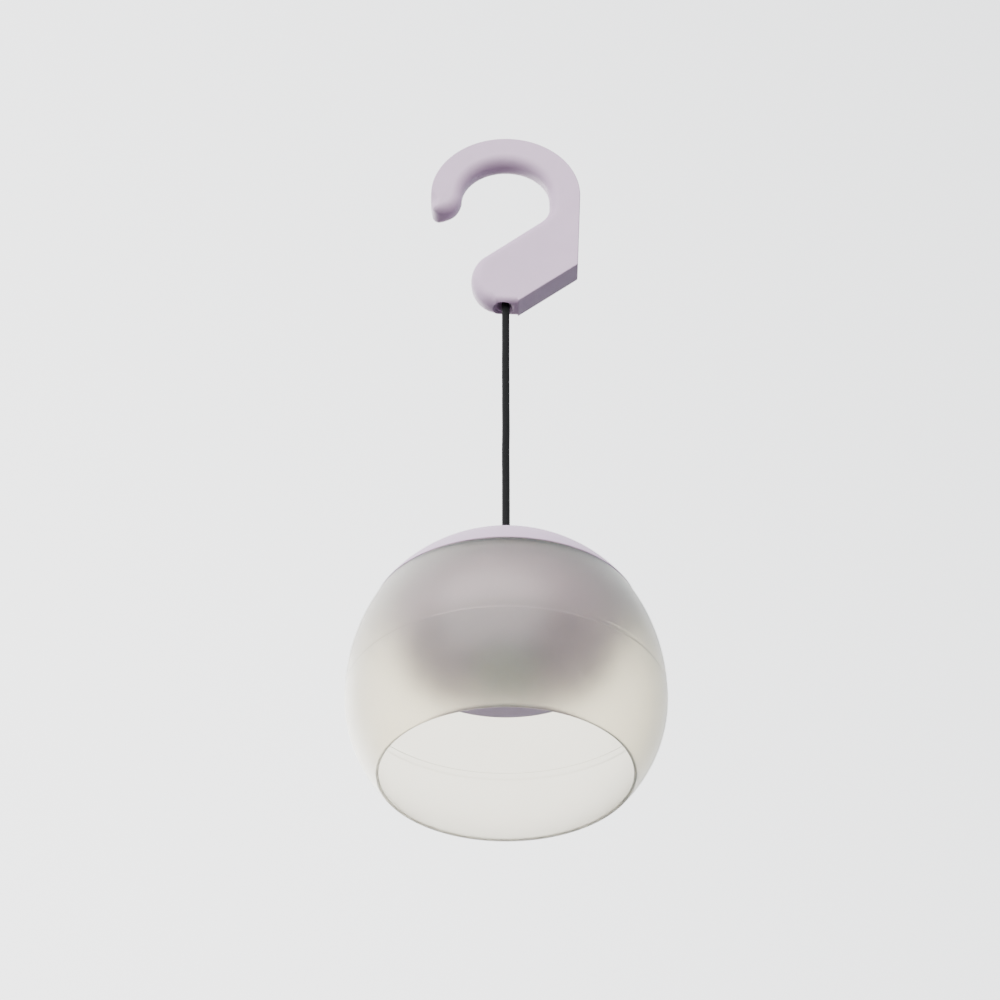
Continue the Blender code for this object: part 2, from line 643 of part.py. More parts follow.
def make_lens(finish, lantern):
    """The domed diffuser that stands out of the housing's floor."""
    flange_low = HOUSING_FLOOR_Z + HOUSING_WALL + GAP
    flange_high = LED_BOARD_Z - GAP
    outer = [(0.0, LENS_BOTTOM_Z)]
    centre = (LENS_RADIUS - LENS_FILLET, LENS_BOTTOM_Z + LENS_CROWN + LENS_FILLET)
    outer += arc(centre, LENS_FILLET, -84, 0, 4)
    outer += [(LENS_RADIUS, flange_low), (LENS_FLANGE, flange_low), (LENS_FLANGE, flange_high)]
    inner = [(LENS_RADIUS - LENS_WALL, flange_high)]
    inner += arc(centre, LENS_FILLET - LENS_WALL, 0, -84, 3)
    inner.append((0.0, LENS_BOTTOM_Z + LENS_WALL))
    turned("lens", outer + inner, 24, finish, lantern)


# ---- Light, battery and control ----------------------------------------------------------------
def make_led_board(board_finish, led_finish, lantern):
    """The round board over the lens, and the LEDs under it."""
    bm = bmesh.new()
    add_rod(bm, 0.0, 0.0, LED_BOARD_Z, LED_BOARD_Z + BOARD_THICKNESS, LED_BOARD_RADIUS, 32)
    board = place("led_board", bm, board_finish, lantern)
    holes = bmesh.new()
    for x, y in LED_SCREWS:
        top = LED_BOARD_Z + BOARD_THICKNESS + OVERCUT
        add_rod(holes, x, y, LED_BOARD_Z - OVERCUT, top, M2_HOLE, PIN_STEPS)
    combine(board, tool("led_board_cutter", holes, lantern), "DIFFERENCE")
    top = LED_BOARD_Z - GAP
    for i in range(LED_COUNT):
        turn = math.tau * i / LED_COUNT
        x, y = LED_RING * math.cos(turn), LED_RING * math.sin(turn)
        low = (x - LED_HALF, y - LED_HALF, top - LED_HEIGHT)
        high = (x + LED_HALF, y + LED_HALF, top)
        block(f"led_{i + 1}", low, high, led_finish, lantern, CHIP_BEVEL)


def make_screw(name, size, x, y, shoulder, tip, finish, parent):
    """A pan-head screw from its head's underside to its point, above or below it."""
    head_radius, head_height, shank_radius = size
    way = math.copysign(1.0, tip - shoulder)
    crown = shoulder - way * head_height
    step = way * 0.4 * MM
    socket = way * 0.9 * MM
    outline = [
        (0.0, crown + socket),
        (head_radius * 0.45, crown + socket),
        (head_radius * 0.45, crown),
        (head_radius - abs(step), crown),
        (head_radius, crown + step),
        (head_radius, shoulder),
        (shank_radius, shoulder),
        (shank_radius, tip - step * 2),
        (shank_radius * 0.4, tip),
        (0.0, tip),
    ]
    turned(name, outline, PIN_STEPS, finish, parent, (x, y, 0.0))


def make_battery(cell_finish, plastic, metal, lantern):
    """The cell, lying along X in its open holder, with a contact at each end."""
    half_x, half_y = HOLDER_HALF
    bay = CELL_RADIUS + GAP

    bm = bmesh.new()
    add_block(bm, (-half_x, -half_y, HOLDER_BOTTOM_Z), (half_x, half_y, CELL_Z + 0.6 * MM))
    holder = place("battery_holder", bm, plastic, lantern)
    ears = bmesh.new()
    for x, y in HOLDER_EARS:
        inward = math.copysign(half_y - OVERCUT, y)
        outward = math.copysign(abs(y) + EAR_HALF - GAP, y)
        near, far = sorted((inward, outward))
        add_block(ears, (x - EAR_HALF, near, EAR_Z[0]), (x + EAR_HALF, far, EAR_Z[1]))
    combine(holder, tool("holder_ears", ears, lantern), "UNION")

    outline = arc((0.0, CELL_Z), bay, 180, 360, 17)
    outline += [(bay, CELL_Z + bay), (-bay, CELL_Z + bay)]
    bm = bmesh.new()
    rings = [[bm.verts.new((x, y, z)) for y, z in outline] for x in (-BAY_HALF, BAY_HALF)]
    for ring in rings:
        bm.faces.new(ring)
    for i in range(len(outline)):
        after = (i + 1) % len(outline)
        bm.faces.new((rings[0][i], rings[0][after], rings[1][after], rings[1][i]))
    combine(holder, tool("bay_cutter", bm, lantern), "DIFFERENCE")
    holes = bmesh.new()
    for x, y in HOLDER_EARS:
        add_rod(holes, x, y, EAR_Z[0] - OVERCUT, EAR_Z[1] + OVERCUT, M2_HOLE, PIN_STEPS)
    combine(holder, tool("ear_hole_cutter", holes, lantern), "DIFFERENCE")

    half = CELL_LENGTH / 2
    rim = 0.6 * MM
    nub_radius, nub_rise = CELL_NUB
    outline = [
        (0.0, half + nub_rise),
        (nub_radius, half + nub_rise),
        (nub_radius, half),
        (CELL_RADIUS - rim, half),
        (CELL_RADIUS, half - rim),
        (CELL_RADIUS, rim - half),
        (CELL_RADIUS - rim, -half),
        (0.0, -half),
    ]
    cell = turned("battery_cell", outline, 20, cell_finish, lantern, (0.0, 0.0, CELL_Z))
    cell.rotation_euler = (0.0, math.pi / 2, 0.0)

    plate = 4.0 * MM
    block(
        "contact_positive",
        (BAY_HALF - 0.8 * MM, -plate, CELL_Z - plate),
        (BAY_HALF - GAP, plate, CELL_Z + plate),
        metal, lantern, 0.1 * MM,
    )
    reach = BAY_HALF - GAP
    foot_thickness = 0.5 * MM
    outline = [
        (0.0, half + GAP - reach),
        (0.4 * plate, half + GAP - reach),
        (0.8 * plate, -foot_thickness),
        (plate, -foot_thickness),
        (plate, 0.0),
        (0.0, 0.0),
    ]
    spring = turned(
        "contact_negative", [(r, -z) for r, z in outline], SMALL_STEPS, metal, lantern,
        (-reach, 0.0, CELL_Z),
    )
    spring.rotation_euler = (0.0, math.pi / 2, 0.0)


def make_board(board_finish, chip_finish, metal, lantern):
    """The control board under the cap, with its chip and the charging socket."""
    board_top = SOCKET_Z - SOCKET_SIZE[2] / 2 - GAP
    board_bottom = board_top - BOARD_THICKNESS
    bm = bmesh.new()
    half_width, (back, front) = BOARD_HALF, BOARD_Y
    add_block(bm, (-half_width, back, board_bottom), (half_width, front, board_top))
    board = place("control_board", bm, board_finish, lantern)
    holes = bmesh.new()
    for x, y in BOARD_POSTS:
        add_rod(holes, x, y, board_bottom - OVERCUT, board_top + OVERCUT, M2_HOLE, PIN_STEPS)
    combine(board, tool("board_hole_cutter", holes, lantern), "DIFFERENCE")
    chip_low = board_top + GAP
    block(
        "control_chip", (-3.0 * MM, 20.0 * MM, chip_low), (3.0 * MM, 25.0 * MM, chip_low + 1.1 * MM),
        chip_finish, lantern, CHIP_BEVEL,
    )
    for i, (x, y) in enumerate(BOARD_POSTS):
        tip = BOARD_HOLE[1] - OVERCUT
        make_screw(f"board_screw_{i + 1}", M2_SCREW, x, y, board_bottom - GAP, tip, metal, lantern)

    half_x, depth, half_z = SOCKET_SIZE[0] / 2, SOCKET_SIZE[1], SOCKET_SIZE[2] / 2
    mouth = PORT_WALL_Y - GAP
    bm = bmesh.new()
    add_block(bm, (-half_x, mouth - depth, SOCKET_Z - half_z), (half_x, mouth, SOCKET_Z + half_z))
    along = [e for e in bm.edges if abs(e.verts[0].co.y - e.verts[1].co.y) > half_x / 2]
    bmesh.ops.bevel(bm, geom=along, offset=SOCKET_CORNER, segments=3, affect="EDGES", profile=0.5)
    socket = place("usb_socket", bm, metal, lantern)
    wall = SOCKET_WALL
    inner = bmesh.new()
    add_block(
        inner,
        (wall - half_x, mouth - depth + OVERCUT, SOCKET_Z - half_z + wall),
        (half_x - wall, mouth + OVERCUT, SOCKET_Z + half_z - wall),
    )
    along = [e for e in inner.edges if abs(e.verts[0].co.y - e.verts[1].co.y) > half_x / 2]
    corner = SOCKET_CORNER - wall
    bmesh.ops.bevel(inner, geom=along, offset=corner, segments=3, affect="EDGES", profile=0.5)
    combine(socket, tool("socket_cutter", inner, lantern), "DIFFERENCE")
    tongue = bmesh.new()
    add_block(
        tongue,
        (-SOCKET_TONGUE, mouth - depth + OVERCUT / 2, SOCKET_Z - GAP),
        (SOCKET_TONGUE, mouth - OVERCUT, SOCKET_Z + GAP),
    )
    combine(socket, tool("socket_tongue", tongue, lantern), "UNION")


def make_flap(finish, lantern):
    """The rubber wedge that closes the notch; it turns down and out about its lower edge."""
    hinge_y, hinge_z = FLAP_PIVOT
    bm = bmesh.new()
    low = (GAP - NOTCH_HALF, PORT_WALL_Y + GAP - hinge_y, NOTCH_FLOOR_Z + GAP - hinge_z)
    high = (NOTCH_HALF - GAP, CAP_RADIUS - hinge_y, NOTCH_TOP_Z - hinge_z)
    add_block(bm, low, high)
    flap = place("usb_flap", bm, finish, lantern, (0.0, hinge_y, hinge_z))
    combine(flap, ball("flap_trimmer", CAP_RADIUS, 80, lantern), "INTERSECT")


def make_button(finish, seal_finish, chip_finish, board_finish, button_frame):
    """The power button and what is under it, on an axis square to the cap's surface."""
    outline = [
        (0.0, 1.0 * MM),
        (3.2 * MM, 0.85 * MM),
        (BUTTON_RADIUS - 0.5 * MM, 0.45 * MM),
        (BUTTON_RADIUS, -0.1 * MM),
        (BUTTON_RADIUS, BUTTON_SEAT),
        (BUTTON_FLANGE, BUTTON_SEAT),
        (BUTTON_FLANGE, BUTTON_UNDER),
        (PLUNGER_RADIUS, BUTTON_UNDER),
        (PLUNGER_RADIUS, BUTTON_FOOT),
        (0.0, BUTTON_FOOT),
    ]
    turned("power_button", outline, 16, finish, button_frame)
    inner, outer = BUTTON_RADIUS + 0.4 * MM, BUTTON_FLANGE + GAP
    high, low = BUTTON_SEAT + 0.9 * MM, BUTTON_SEAT + GAP
    ring = [(inner, high), (outer, high), (outer, low), (inner, low)]
    turned("button_seal", ring, 16, seal_finish, button_frame)

    half = 3.0 * MM
    bm = bmesh.new()
    add_block(bm, (-half, -half, SWITCH_BOTTOM), (half, half, SWITCH_TOP))
    switch = place("tact_switch", bm, chip_finish, button_frame)
    plunger = bmesh.new()
    add_rod(plunger, 0.0, 0.0, SWITCH_TOP - OVERCUT / 2, PLUNGER_TOP, PLUNGER_RADIUS, PIN_STEPS)
    combine(switch, tool("switch_plunger", plunger, button_frame), "UNION")
    board_top = SWITCH_BOTTOM - GAP
    block(
        "switch_board",
        (-11.0 * MM, -4.6 * MM, board_top - BOARD_THICKNESS),
        (11.0 * MM, 4.6 * MM, board_top),
        board_finish, button_frame, CHIP_BEVEL,
    )


def make_leads(red, black, lantern):
    """The battery's and the lights' leads, each along its own route to the control board."""
    lead_radius = 0.6 * MM
    board_under = SOCKET_Z - SOCKET_SIZE[2] / 2 - BOARD_THICKNESS - 2 * GAP
    for name, side, finish in (("battery_lead_red", 1, red), ("battery_lead_black", -1, black)):
        route = [
            (side * 34.0 * MM, 0.0, CELL_Z + 4.5 * MM),
            (side * 34.4 * MM, 2.5 * MM, 37.4 * MM),
            (side * 29.0 * MM, 8.5 * MM, 39.8 * MM),
            (side * 20.0 * MM, 12.0 * MM, 38.2 * MM),
            (side * 12.2 * MM, 13.4 * MM, 37.8 * MM),
            (side * 10.5 * MM, 13.8 * MM, board_under),
        ]
        tube(name, smooth_route(route, 14), lead_radius, finish, lantern)
    for name, side, finish in (("led_lead_red", 1, red), ("led_lead_black", -1, black)):
        route = [
            (side * 6.0 * MM, 14.6 * MM, LED_BOARD_Z + BOARD_THICKNESS + GAP),
            (side * 6.3 * MM, 15.0 * MM, 22.0 * MM),
            (side * 7.5 * MM, 17.2 * MM, 30.0 * MM),
            (side * 7.0 * MM, 17.6 * MM, 36.0 * MM),
            (side * 6.5 * MM, 17.0 * MM, board_under),
        ]
        tube(name, smooth_route(route, 10), lead_radius, finish, lantern)


def make_housing_screws(metal, lantern):
    """The screws that pull the housing up to the cap and clamp the shade's flange."""
    for i, (x, y) in enumerate(screw_places()):
        shoulder, tip = WELL_TOP_Z - GAP, SCREW_HOLE_TOP - OVERCUT
        make_screw(f"housing_screw_{i + 1}", M3_SCREW, x, y, shoulder, tip, metal, lantern)
    low_tip = HOUSING_FLOOR_Z + 1.5 * MM
    for i, (x, y) in enumerate(HOLDER_EARS):
        shoulder = EAR_Z[1] + GAP
        make_screw(f"holder_screw_{i + 1}", M2_SCREW, x, y, shoulder, low_tip, metal, lantern)
    for i, (x, y) in enumerate(LED_SCREWS):
        shoulder = LED_BOARD_Z + BOARD_THICKNESS + GAP
        make_screw(f"led_screw_{i + 1}", M2_SCREW, x, y, shoulder, low_tip, metal, lantern)


# ---- The whole object --------------------------------------------------------------------------
def build():
    """Makes every piece."""
    clear_scene()
    lavender = material("lavender plastic", (0.62, 0.54, 0.64), 0.5)
    grey = material("grey plastic", (0.34, 0.335, 0.38), 0.55)
    frosted = material("frosted plastic", (0.85, 0.83, 0.78), 0.45, transmission=0.6)
    lens_finish = material("lens plastic", (0.9, 0.9, 0.87), 0.35, transmission=0.7)
    cord_finish = material("black cord", (0.012, 0.013, 0.013), 0.85)
    rubber = material("grey silicone", (0.30, 0.27, 0.31), 0.7)
    steel = material("zinc plated steel", (0.66, 0.66, 0.65), 0.35, 1.0)
    nickel = material("nickel", (0.72, 0.70, 0.66), 0.3, 1.0)
    board_green = material("circuit board", (0.02, 0.12, 0.06), 0.4)
    board_white = material("white circuit board", (0.85, 0.85, 0.83), 0.4)
    led_yellow = material("LED phosphor", (0.90, 0.72, 0.20), 0.4)
    chip_black = material("chip epoxy", (0.02, 0.02, 0.02), 0.5)
    cell_wrap = material("cell wrap", (0.10, 0.16, 0.34), 0.35)
    holder_black = material("black plastic", (0.03, 0.03, 0.03), 0.5)
    wire_red = material("red wire", (0.45, 0.02, 0.02), 0.45)
    wire_black = material("black wire", (0.02, 0.02, 0.02), 0.45)

    make_hook(lavender)

    hook_pivot = FACET_Z - GAP
    bend_pivot = hook_pivot - UPPER_LENGTH
    cap_pivot = EQUATOR_Z + CAP_POLE_Z + CAP_PIVOT_RISE
    tail_pivot = cap_pivot + END_LENGTH
    make_upper_knot(cord_finish, hook_pivot)
    make_cord_stretch(
        "cord_upper", cord_finish, hook_pivot, bend_pivot + PIVOT_RISE, hook_pivot, True, False, 2
    )
    make_cord_stretch(
        "cord_lower", cord_finish, bend_pivot, tail_pivot, bend_pivot, True, True, 15
    )
    make_cord_stretch(
        "cord_end", cord_finish, tail_pivot - PIVOT_RISE, cap_pivot, tail_pivot, False, True, 2
    )
    washer_top = EQUATOR_Z + CAP_BOSS_Z - GAP
    washer_bottom = washer_top - WASHER_THICKNESS
    make_lower_knot(cord_finish, cap_pivot, washer_bottom)
    washer = [
        (WASHER_BORE, washer_top), (WASHER_RADIUS, washer_top), (WASHER_RADIUS, washer_bottom),
        (WASHER_BORE, washer_bottom),
    ]
    turned("knot_washer", washer, SMALL_STEPS, steel)

    lantern = empty("lantern_frame", (0.0, 0.0, EQUATOR_Z))
    button_z = CAP_CENTRE_Z + CAP_RADIUS * math.cos(BUTTON_TILT)
    button_frame = empty("button_frame", (0.0, BUTTON_Y, button_z), lantern, -BUTTON_TILT)
    make_cap(lavender, lantern, button_frame)
    make_gasket(rubber, lantern)
    make_shade(frosted, lantern)
    make_housing(grey, lantern)
    make_lens(lens_finish, lantern)
    make_led_board(board_white, led_yellow, lantern)
    make_battery(cell_wrap, holder_black, nickel, lantern)
    make_board(board_green, chip_black, nickel, lantern)
    make_flap(rubber, lantern)
    make_button(rubber, rubber, chip_black, board_green, button_frame)
    make_leads(wire_red, wire_black, lantern)
    make_housing_screws(steel, lantern)
    bpy.context.view_layer.update()


build()
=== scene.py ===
"""The looks of the hanging globe lantern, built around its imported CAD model. Metres, row frame."""

import json
import math

import bmesh
import bpy
from mathutils import Matrix, Vector


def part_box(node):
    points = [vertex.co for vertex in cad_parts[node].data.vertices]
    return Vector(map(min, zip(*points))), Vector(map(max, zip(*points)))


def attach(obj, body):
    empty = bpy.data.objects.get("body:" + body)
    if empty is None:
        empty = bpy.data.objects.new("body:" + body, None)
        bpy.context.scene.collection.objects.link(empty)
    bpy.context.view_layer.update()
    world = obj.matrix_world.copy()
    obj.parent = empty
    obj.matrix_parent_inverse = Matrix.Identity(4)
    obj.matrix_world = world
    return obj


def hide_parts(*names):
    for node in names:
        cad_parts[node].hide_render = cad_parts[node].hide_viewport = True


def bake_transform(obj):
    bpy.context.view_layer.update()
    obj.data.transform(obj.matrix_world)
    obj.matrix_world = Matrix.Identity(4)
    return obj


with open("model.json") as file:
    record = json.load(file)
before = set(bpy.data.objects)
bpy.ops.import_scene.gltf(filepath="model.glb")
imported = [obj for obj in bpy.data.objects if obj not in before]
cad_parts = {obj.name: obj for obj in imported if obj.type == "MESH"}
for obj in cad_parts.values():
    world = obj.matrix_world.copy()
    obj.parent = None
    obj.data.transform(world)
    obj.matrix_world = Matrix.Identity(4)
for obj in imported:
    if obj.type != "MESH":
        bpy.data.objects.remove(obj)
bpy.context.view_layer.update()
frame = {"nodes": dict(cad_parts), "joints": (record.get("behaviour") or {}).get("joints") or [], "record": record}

MM = 0.001
GAP = 0.3 * MM  # between pieces that touch

# ---- Places that the CAD model gives ----------------------------------------------------------
MOUTH_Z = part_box("shade_lower")[0].z
EQUATOR_Z = MOUTH_Z + 36.7 * MM
JOINTS = {joint["name"]: joint for joint in frame["joints"]}
HOOK_PIVOT_Z = JOINTS["swing_front_back"]["pos_m"][2]
BEND_PIVOT_Z = JOINTS["swing_side_to_side"]["pos_m"][2]
TAIL_PIVOT_Z = JOINTS["lantern_tilt_front_back"]["pos_m"][2]
CAP_PIVOT_Z = JOINTS["lantern_tilt_side"]["pos_m"][2]

# ---- Hook, as in the CAD model, seen from the front (X, Z) -------------------------------------
HOOK_DEPTH = 10.7 * MM
BIGHT_RADIUS = 18.2 * MM
CROWN_RADIUS = 31.0 * MM
CROWN_CENTRE_Z = -18.0 * MM
CROWN_START = -3.0
SOFT_ANGLE = 172.0
TIP_ANGLE = 190.4
TIP_RADIUS = 3.3 * MM
TIP_CONTROL = (-19.8 * MM, -26.3 * MM)
ELBOW_RADIUS = 11.0 * MM
ELBOW_TOP_Z = -22.7 * MM
ARM_SLOPE = 39.1
NOSE_CENTRE = (-3.8 * MM, -61.7 * MM)
NOSE_ACROSS = 10.2 * MM
NOSE_DOWN = 13.5 * MM
FACET_Z = NOSE_CENTRE[1] - NOSE_DOWN
FACET_RIGHT_X = 5.2 * MM
SIDE_BOTTOM = (29.5 * MM, -56.0 * MM)
HOOK_ROUNDING = 4.6 * MM
TIP_ROUNDING = 3.1 * MM
CRISP_FRONT = 0.5 * MM
CRISP_BACK = 1.1 * MM
CORNER_RADIUS = 0.8 * MM  # of the outline's crisp corners
POINT_SPACING = 3.0 * MM  # the most between points on a straight stretch of them
ROUNDING_GROWTH = 0.6  # of the edge's rounding, per length along the outline
ROUNDING_SMOOTHINGS = 6
ROUNDING_STEPS = 9
LEAST_MITRE = 0.75
BORE_RADIUS = 2.0 * MM
FUNNEL_RADIUS = 3.4 * MM
FUNNEL_SHIFT_X = -1.2 * MM
FUNNEL_TOP_Z = FACET_Z + 4.5 * MM
FUNNEL_LIP = 1.5 * MM
POCKET_RADIUS = 3.8 * MM
POCKET_FLOOR_Z = -56.0 * MM
POCKET_TOP_Z = -34.0 * MM

# ---- Cord --------------------------------------------------------------------------------------
BEND_REACH = 2.0 * MM  # the cord's pieces end this far above or below a pivot
BRAID_STRANDS = 8  # in each direction
BRAID_PITCH = 9.0 * MM
BRAID_RELIEF = 0.13 * MM
BRAID_RADIUS = 1.6 * MM  # over the strands' crowns
CORD_POINT_SPACING = 0.2 * MM
CORD_SWAY = 0.05 * MM  # the slight waves of a cord that was folded
KNOT_CORD = 2.6 * MM  # the cord is squeezed thinner in a knot
KNOT_HEIGHT = 5.6 * MM
KNOT_TURNS = 2.1

# ---- Globe, heights from the equator plane -----------------------------------------------------
CAP_RADIUS = 60.0 * MM
CAP_CENTRE_Z = 2.2 * MM
CAP_WALL = 2.2 * MM
CAP_EDGE_Z = 34.9 * MM
UPPER_ARC = (-13.4 * MM, -2.2 * MM, 73.4 * MM)
LOWER_ARC = (8.65 * MM, -3.2 * MM, 51.45 * MM)
SHADE_WALL = 1.2 * MM
MOUTH_HEIGHT = -36.7 * MM
SEAM_OUTER = -2.6 * MM
SEAM_INNER = -0.05 * MM
SEAM_WIDTH = 0.3 * MM
SEAM_DEPTH_OUTER = 0.06 * MM
SEAM_DEPTH_INNER = 0.15 * MM
SHADE_TOP = 34.5 * MM
SHADE_FLANGE = 1.5 * MM
SHADE_FLANGE_INNER = 46.4 * MM
BRIM_WIDTH = 0.7 * MM  # the shade's outer edge stands up to the cap's
BRIM_TOP = CAP_EDGE_Z - 0.06 * MM
MOUTH_ROUNDING = 0.42 * MM
RIM_STEP = 1.0 * MM  # left free at each end of an arc for the edge's rounding
CAP_BORE = 2.1 * MM
CAP_BORE_DEPTH = 4.5 * MM  # where the bore ends and its flare begins, below the pole
CAP_FUNNEL = 3.4 * MM
CAP_BOSS_RADIUS = 7.0 * MM
CAP_BOSS = 52.0 * MM
CAP_POLE = CAP_CENTRE_Z + CAP_RADIUS
CAP_EDGE_ROUNDING = 0.3 * MM
CAP_STEP = CAP_EDGE_Z + 3.3 * MM  # top of the thick edge
LAND_RADIUS = 49.2 * MM  # inner edge of the face that meets the shade
SKIRT_RADIUS = 46.6 * MM  # inside of the thick edge
GROOVE_Z = CAP_EDGE_Z + 1.1 * MM

HOUSING_FLOOR = 13.5 * MM
HOUSING_WALL = 2.0 * MM
HOUSING_RADIUS = 42.0 * MM
HOUSING_CORNER = 3.0 * MM
HOUSING_RIM = 32.7 * MM
HOUSING_RIM_RADIUS = 48.0 * MM
RIM_UNDERSIDE = HOUSING_RIM - 1.6 * MM
RIM_INNER_RADIUS = 44.4 * MM
SHOULDER = (46.3 * MM, HOUSING_RIM - 1.7 * MM)  # top of the side wall, under the rim
FLOOR_CORNER = (38.2 * MM, 2.2 * MM)  # where it starts on the floor, and its rise up the wall
LENS_RADIUS = 13.0 * MM
LENS_WALL = 1.5 * MM
LENS_FILLET = 5.5 * MM
LENS_CROWN = 0.8 * MM  # rise from the middle to the fillet
LENS_MIDDLE = (3.5 * MM, 0.12 * MM)  # radius and rise of its flattest part
LENS_FLANGE = 14.6 * MM
LED_BOARD = 17.1 * MM

# ---- Screws and their posts --------------------------------------------------------------------
SCREW_RING = 34.0 * MM
SCREW_POST = 4.2 * MM
SCREW_HOLE_TOP = 43.0 * MM
SLEEVE_RADIUS = 4.4 * MM
WELL_TOP = 21.7 * MM
WELL_RADIUS = 3.4 * MM
WELL_ROUNDING = 0.5 * MM
BOARD_POST = 2.2 * MM
BOARD_HOLE = (40.0 * MM, 47.0 * MM)  # bottom and top
BOARD_UNDER_SOCKET = 1.63 * MM  # half the socket's height
EAR_POST = (2.6 * MM, 18.7 * MM)  # radius and top of a post under the battery holder
LED_POST = 2.2 * MM
M3_HOLE = 1.7 * MM
M2_HOLE = 1.2 * MM
M3_SCREW = (2.4 * MM, 1.4 * MM, 0.6 * MM)  # head height, shank radius and thread pitch
M2_SCREW = (1.3 * MM, 0.9 * MM, 0.45 * MM)
LED_SCREW = (1.2 * MM, 0.9 * MM, 0.45 * MM)
BOARD_POSTS = [(-13.0 * MM, 9.0 * MM), (13.0 * MM, 9.0 * MM)]
HOLDER_EARS = [(25.0 * MM, 14.3 * MM), (-25.0 * MM, -14.3 * MM)]
LED_SCREWS = [(0.0, 17.2 * MM), (0.0, -17.2 * MM)]

# ---- Charging port and button ------------------------------------------------------------------
SOCKET_HEIGHT = 43.3 * MM
PORT_BLOCK = ((-9.0 * MM, 37.5 * MM, 38.6 * MM), (9.0 * MM, 47.0 * MM, 47.5 * MM))
PORT_WINDOW = ((-4.75 * MM, 36.0 * MM, 41.4 * MM), (4.75 * MM, 50.0 * MM, 45.2 * MM))
PORT_WALL_Y = 41.0 * MM
NOTCH_FLOOR = 40.0 * MM
NOTCH_HALF = 7.0 * MM
NOTCH_TOP = 52.0 * MM  # clear of the cap's surface
FLAP_COLUMNS = 28
FLAP_ROWS = 12
FLAP_ROUNDING = 0.35 * MM
NAIL_DIP = 0.35 * MM  # a dent for a fingernail in the flap's upper edge
NAIL_DIP_Y = 43.0 * MM
NAIL_DIP_HALF = (2.6 * MM, 0.55 * MM)  # across and along
BUTTON_Y = 24.0 * MM
BUTTON_RADIUS = 5.2 * MM
BUTTON_PLAY = 0.35 * MM
BUTTON_FLANGE = 6.6 * MM
BUTTON_SEAT = -3.8 * MM  # heights along the button's axis, from the cap's surface
BUTTON_UNDER = -4.9 * MM
BUTTON_FOOT = -6.6 * MM
BUTTON_TILT = math.asin(BUTTON_Y / CAP_RADIUS)
PLUNGER_RADIUS = 1.6 * MM
SWITCH_POST_X = 9.2 * MM
STAKE_RADIUS = 1.6 * MM
STAKE_ENDS = (-11.0 * MM, -1.6 * MM)

SHARP_ANGLE = 32.0
BRAID_SHARP_ANGLE = 75.0
FINE_STEPS = 180
MEDIUM_STEPS = 64
POST_STEPS = 24

# ---- Camera and light --------------------------------------------------------------------------
CAMERA_DISTANCE = 1.2
CAMERA_BELOW = math.radians(32.625)
CAMERA_PITCH = math.radians(36.024)
CAMERA_YAW = math.radians(0.13)
CAMERA_LENS = 115.95
FLOOR_Z = -1.45
FLOOR_HALF = 12.0
BRIGHT_SIDE = (-0.6, 0.79, 0.1)  # the surround is brightest this way, behind and to the left
SURROUND = (  # share of the way from the darkest side to the brightest, and the colour there
    (0.0, (0.09, 0.095, 0.105)),
    (0.8, (1.18, 1.22, 1.2)),
    (0.55, (0.22, 0.245, 0.27)),
)
SURROUND_STRENGTH = 4.4
DIMMING = (-0.35, 0.05, 0.1)  # the view's slope where it ends and starts, the share left below
LIGHTS = (  # name, place, target, size, watts, colour
    ("key light", (-0.35, -1.75, 0.8), (0.0, 0.0, -0.1), 2.4, 92.0, (1.0, 0.97, 0.96)),
    ("low light", (-1.2, -1.3, -1.0), (0.0, 0.0, -0.15), 1.0, 1.0, (1.0, 0.93, 0.9)),
    ("back light", (-1.1, 1.7, 0.3), (0.0, 0.0, EQUATOR_Z), 1.4, 26.0, (1.0, 0.99, 0.97)),
)


# ---- Shapes ------------------------------------------------------------------------------------
def arc(centre, radius, start, stop, count):
    """Points on an arc, from start to stop in degrees."""
    turns = [math.radians(start + (stop - start) * i / (count - 1)) for i in range(count)]
    return [(centre[0] + radius * math.cos(t), centre[1] + radius * math.sin(t)) for t in turns]


def rounded(corners, steps=5):
    """A closed outline; a corner with a third number is rounded by an arc of that radius."""
    outline = []
    for i, corner in enumerate(corners):
        here = Vector(corner[:2])
        if len(corner) < 3:
            outline.append(tuple(here))
            continue
        to_before = (Vector(corners[i - 1][:2]) - here).normalized()
        to_after = (Vector(corners[(i + 1) % len(corners)][:2]) - here).normalized()
        half = to_before.angle(to_after) / 2
        centre = here + (to_before + to_after).normalized() * corner[2] / math.sin(half)
        start = here + to_before * corner[2] / math.tan(half) - centre
        sweep = math.pi - 2 * half
        if to_before.x * to_after.y - to_before.y * to_after.x > 0:
            sweep = -sweep
        for k in range(steps + 1):
            outline.append(tuple(centre + Matrix.Rotation(sweep * k / steps, 2) @ start))
    return outline


def radius_at(curve, height):
    """Radius of one of the globe's arcs at a height."""
    centre_r, centre_z, radius = curve
    return centre_r + math.sqrt(radius**2 - (height - centre_z) ** 2)


def arc_rings(curve, low, high, count, inset=0.0):
    """Outline points on one of the globe's arcs between two heights, moved in by inset."""
    centre_r, centre_z, radius = curve
    narrowed = (centre_r, centre_z, radius - inset)
    heights = [low + (high - low) * i / (count - 1) for i in range(count)]
    return [(radius_at(narrowed, z), z) for z in heights]


def turn_into(bm, outline, steps=MEDIUM_STEPS):
    """Adds a closed outline of (radius, height) turned about Z."""
    start = len(bm.verts)
    touches_axis = min(r for r, _ in outline) < 1e-6
    ring = [bm.verts.new((r, 0.0, z)) for r, z in outline]
    edges = [bm.edges.new(pair) for pair in zip(ring, ring[1:])]
    if not touches_axis:
        edges.append(bm.edges.new((ring[-1], ring[0])))
    bmesh.ops.spin(
        bm, geom=ring + edges, axis=(0, 0, 1), cent=(0, 0, 0), angle=math.tau, steps=steps,
        use_merge=True,
    )
    bm.verts.ensure_lookup_table()
    bmesh.ops.remove_doubles(bm, verts=bm.verts[start:], dist=1e-7)


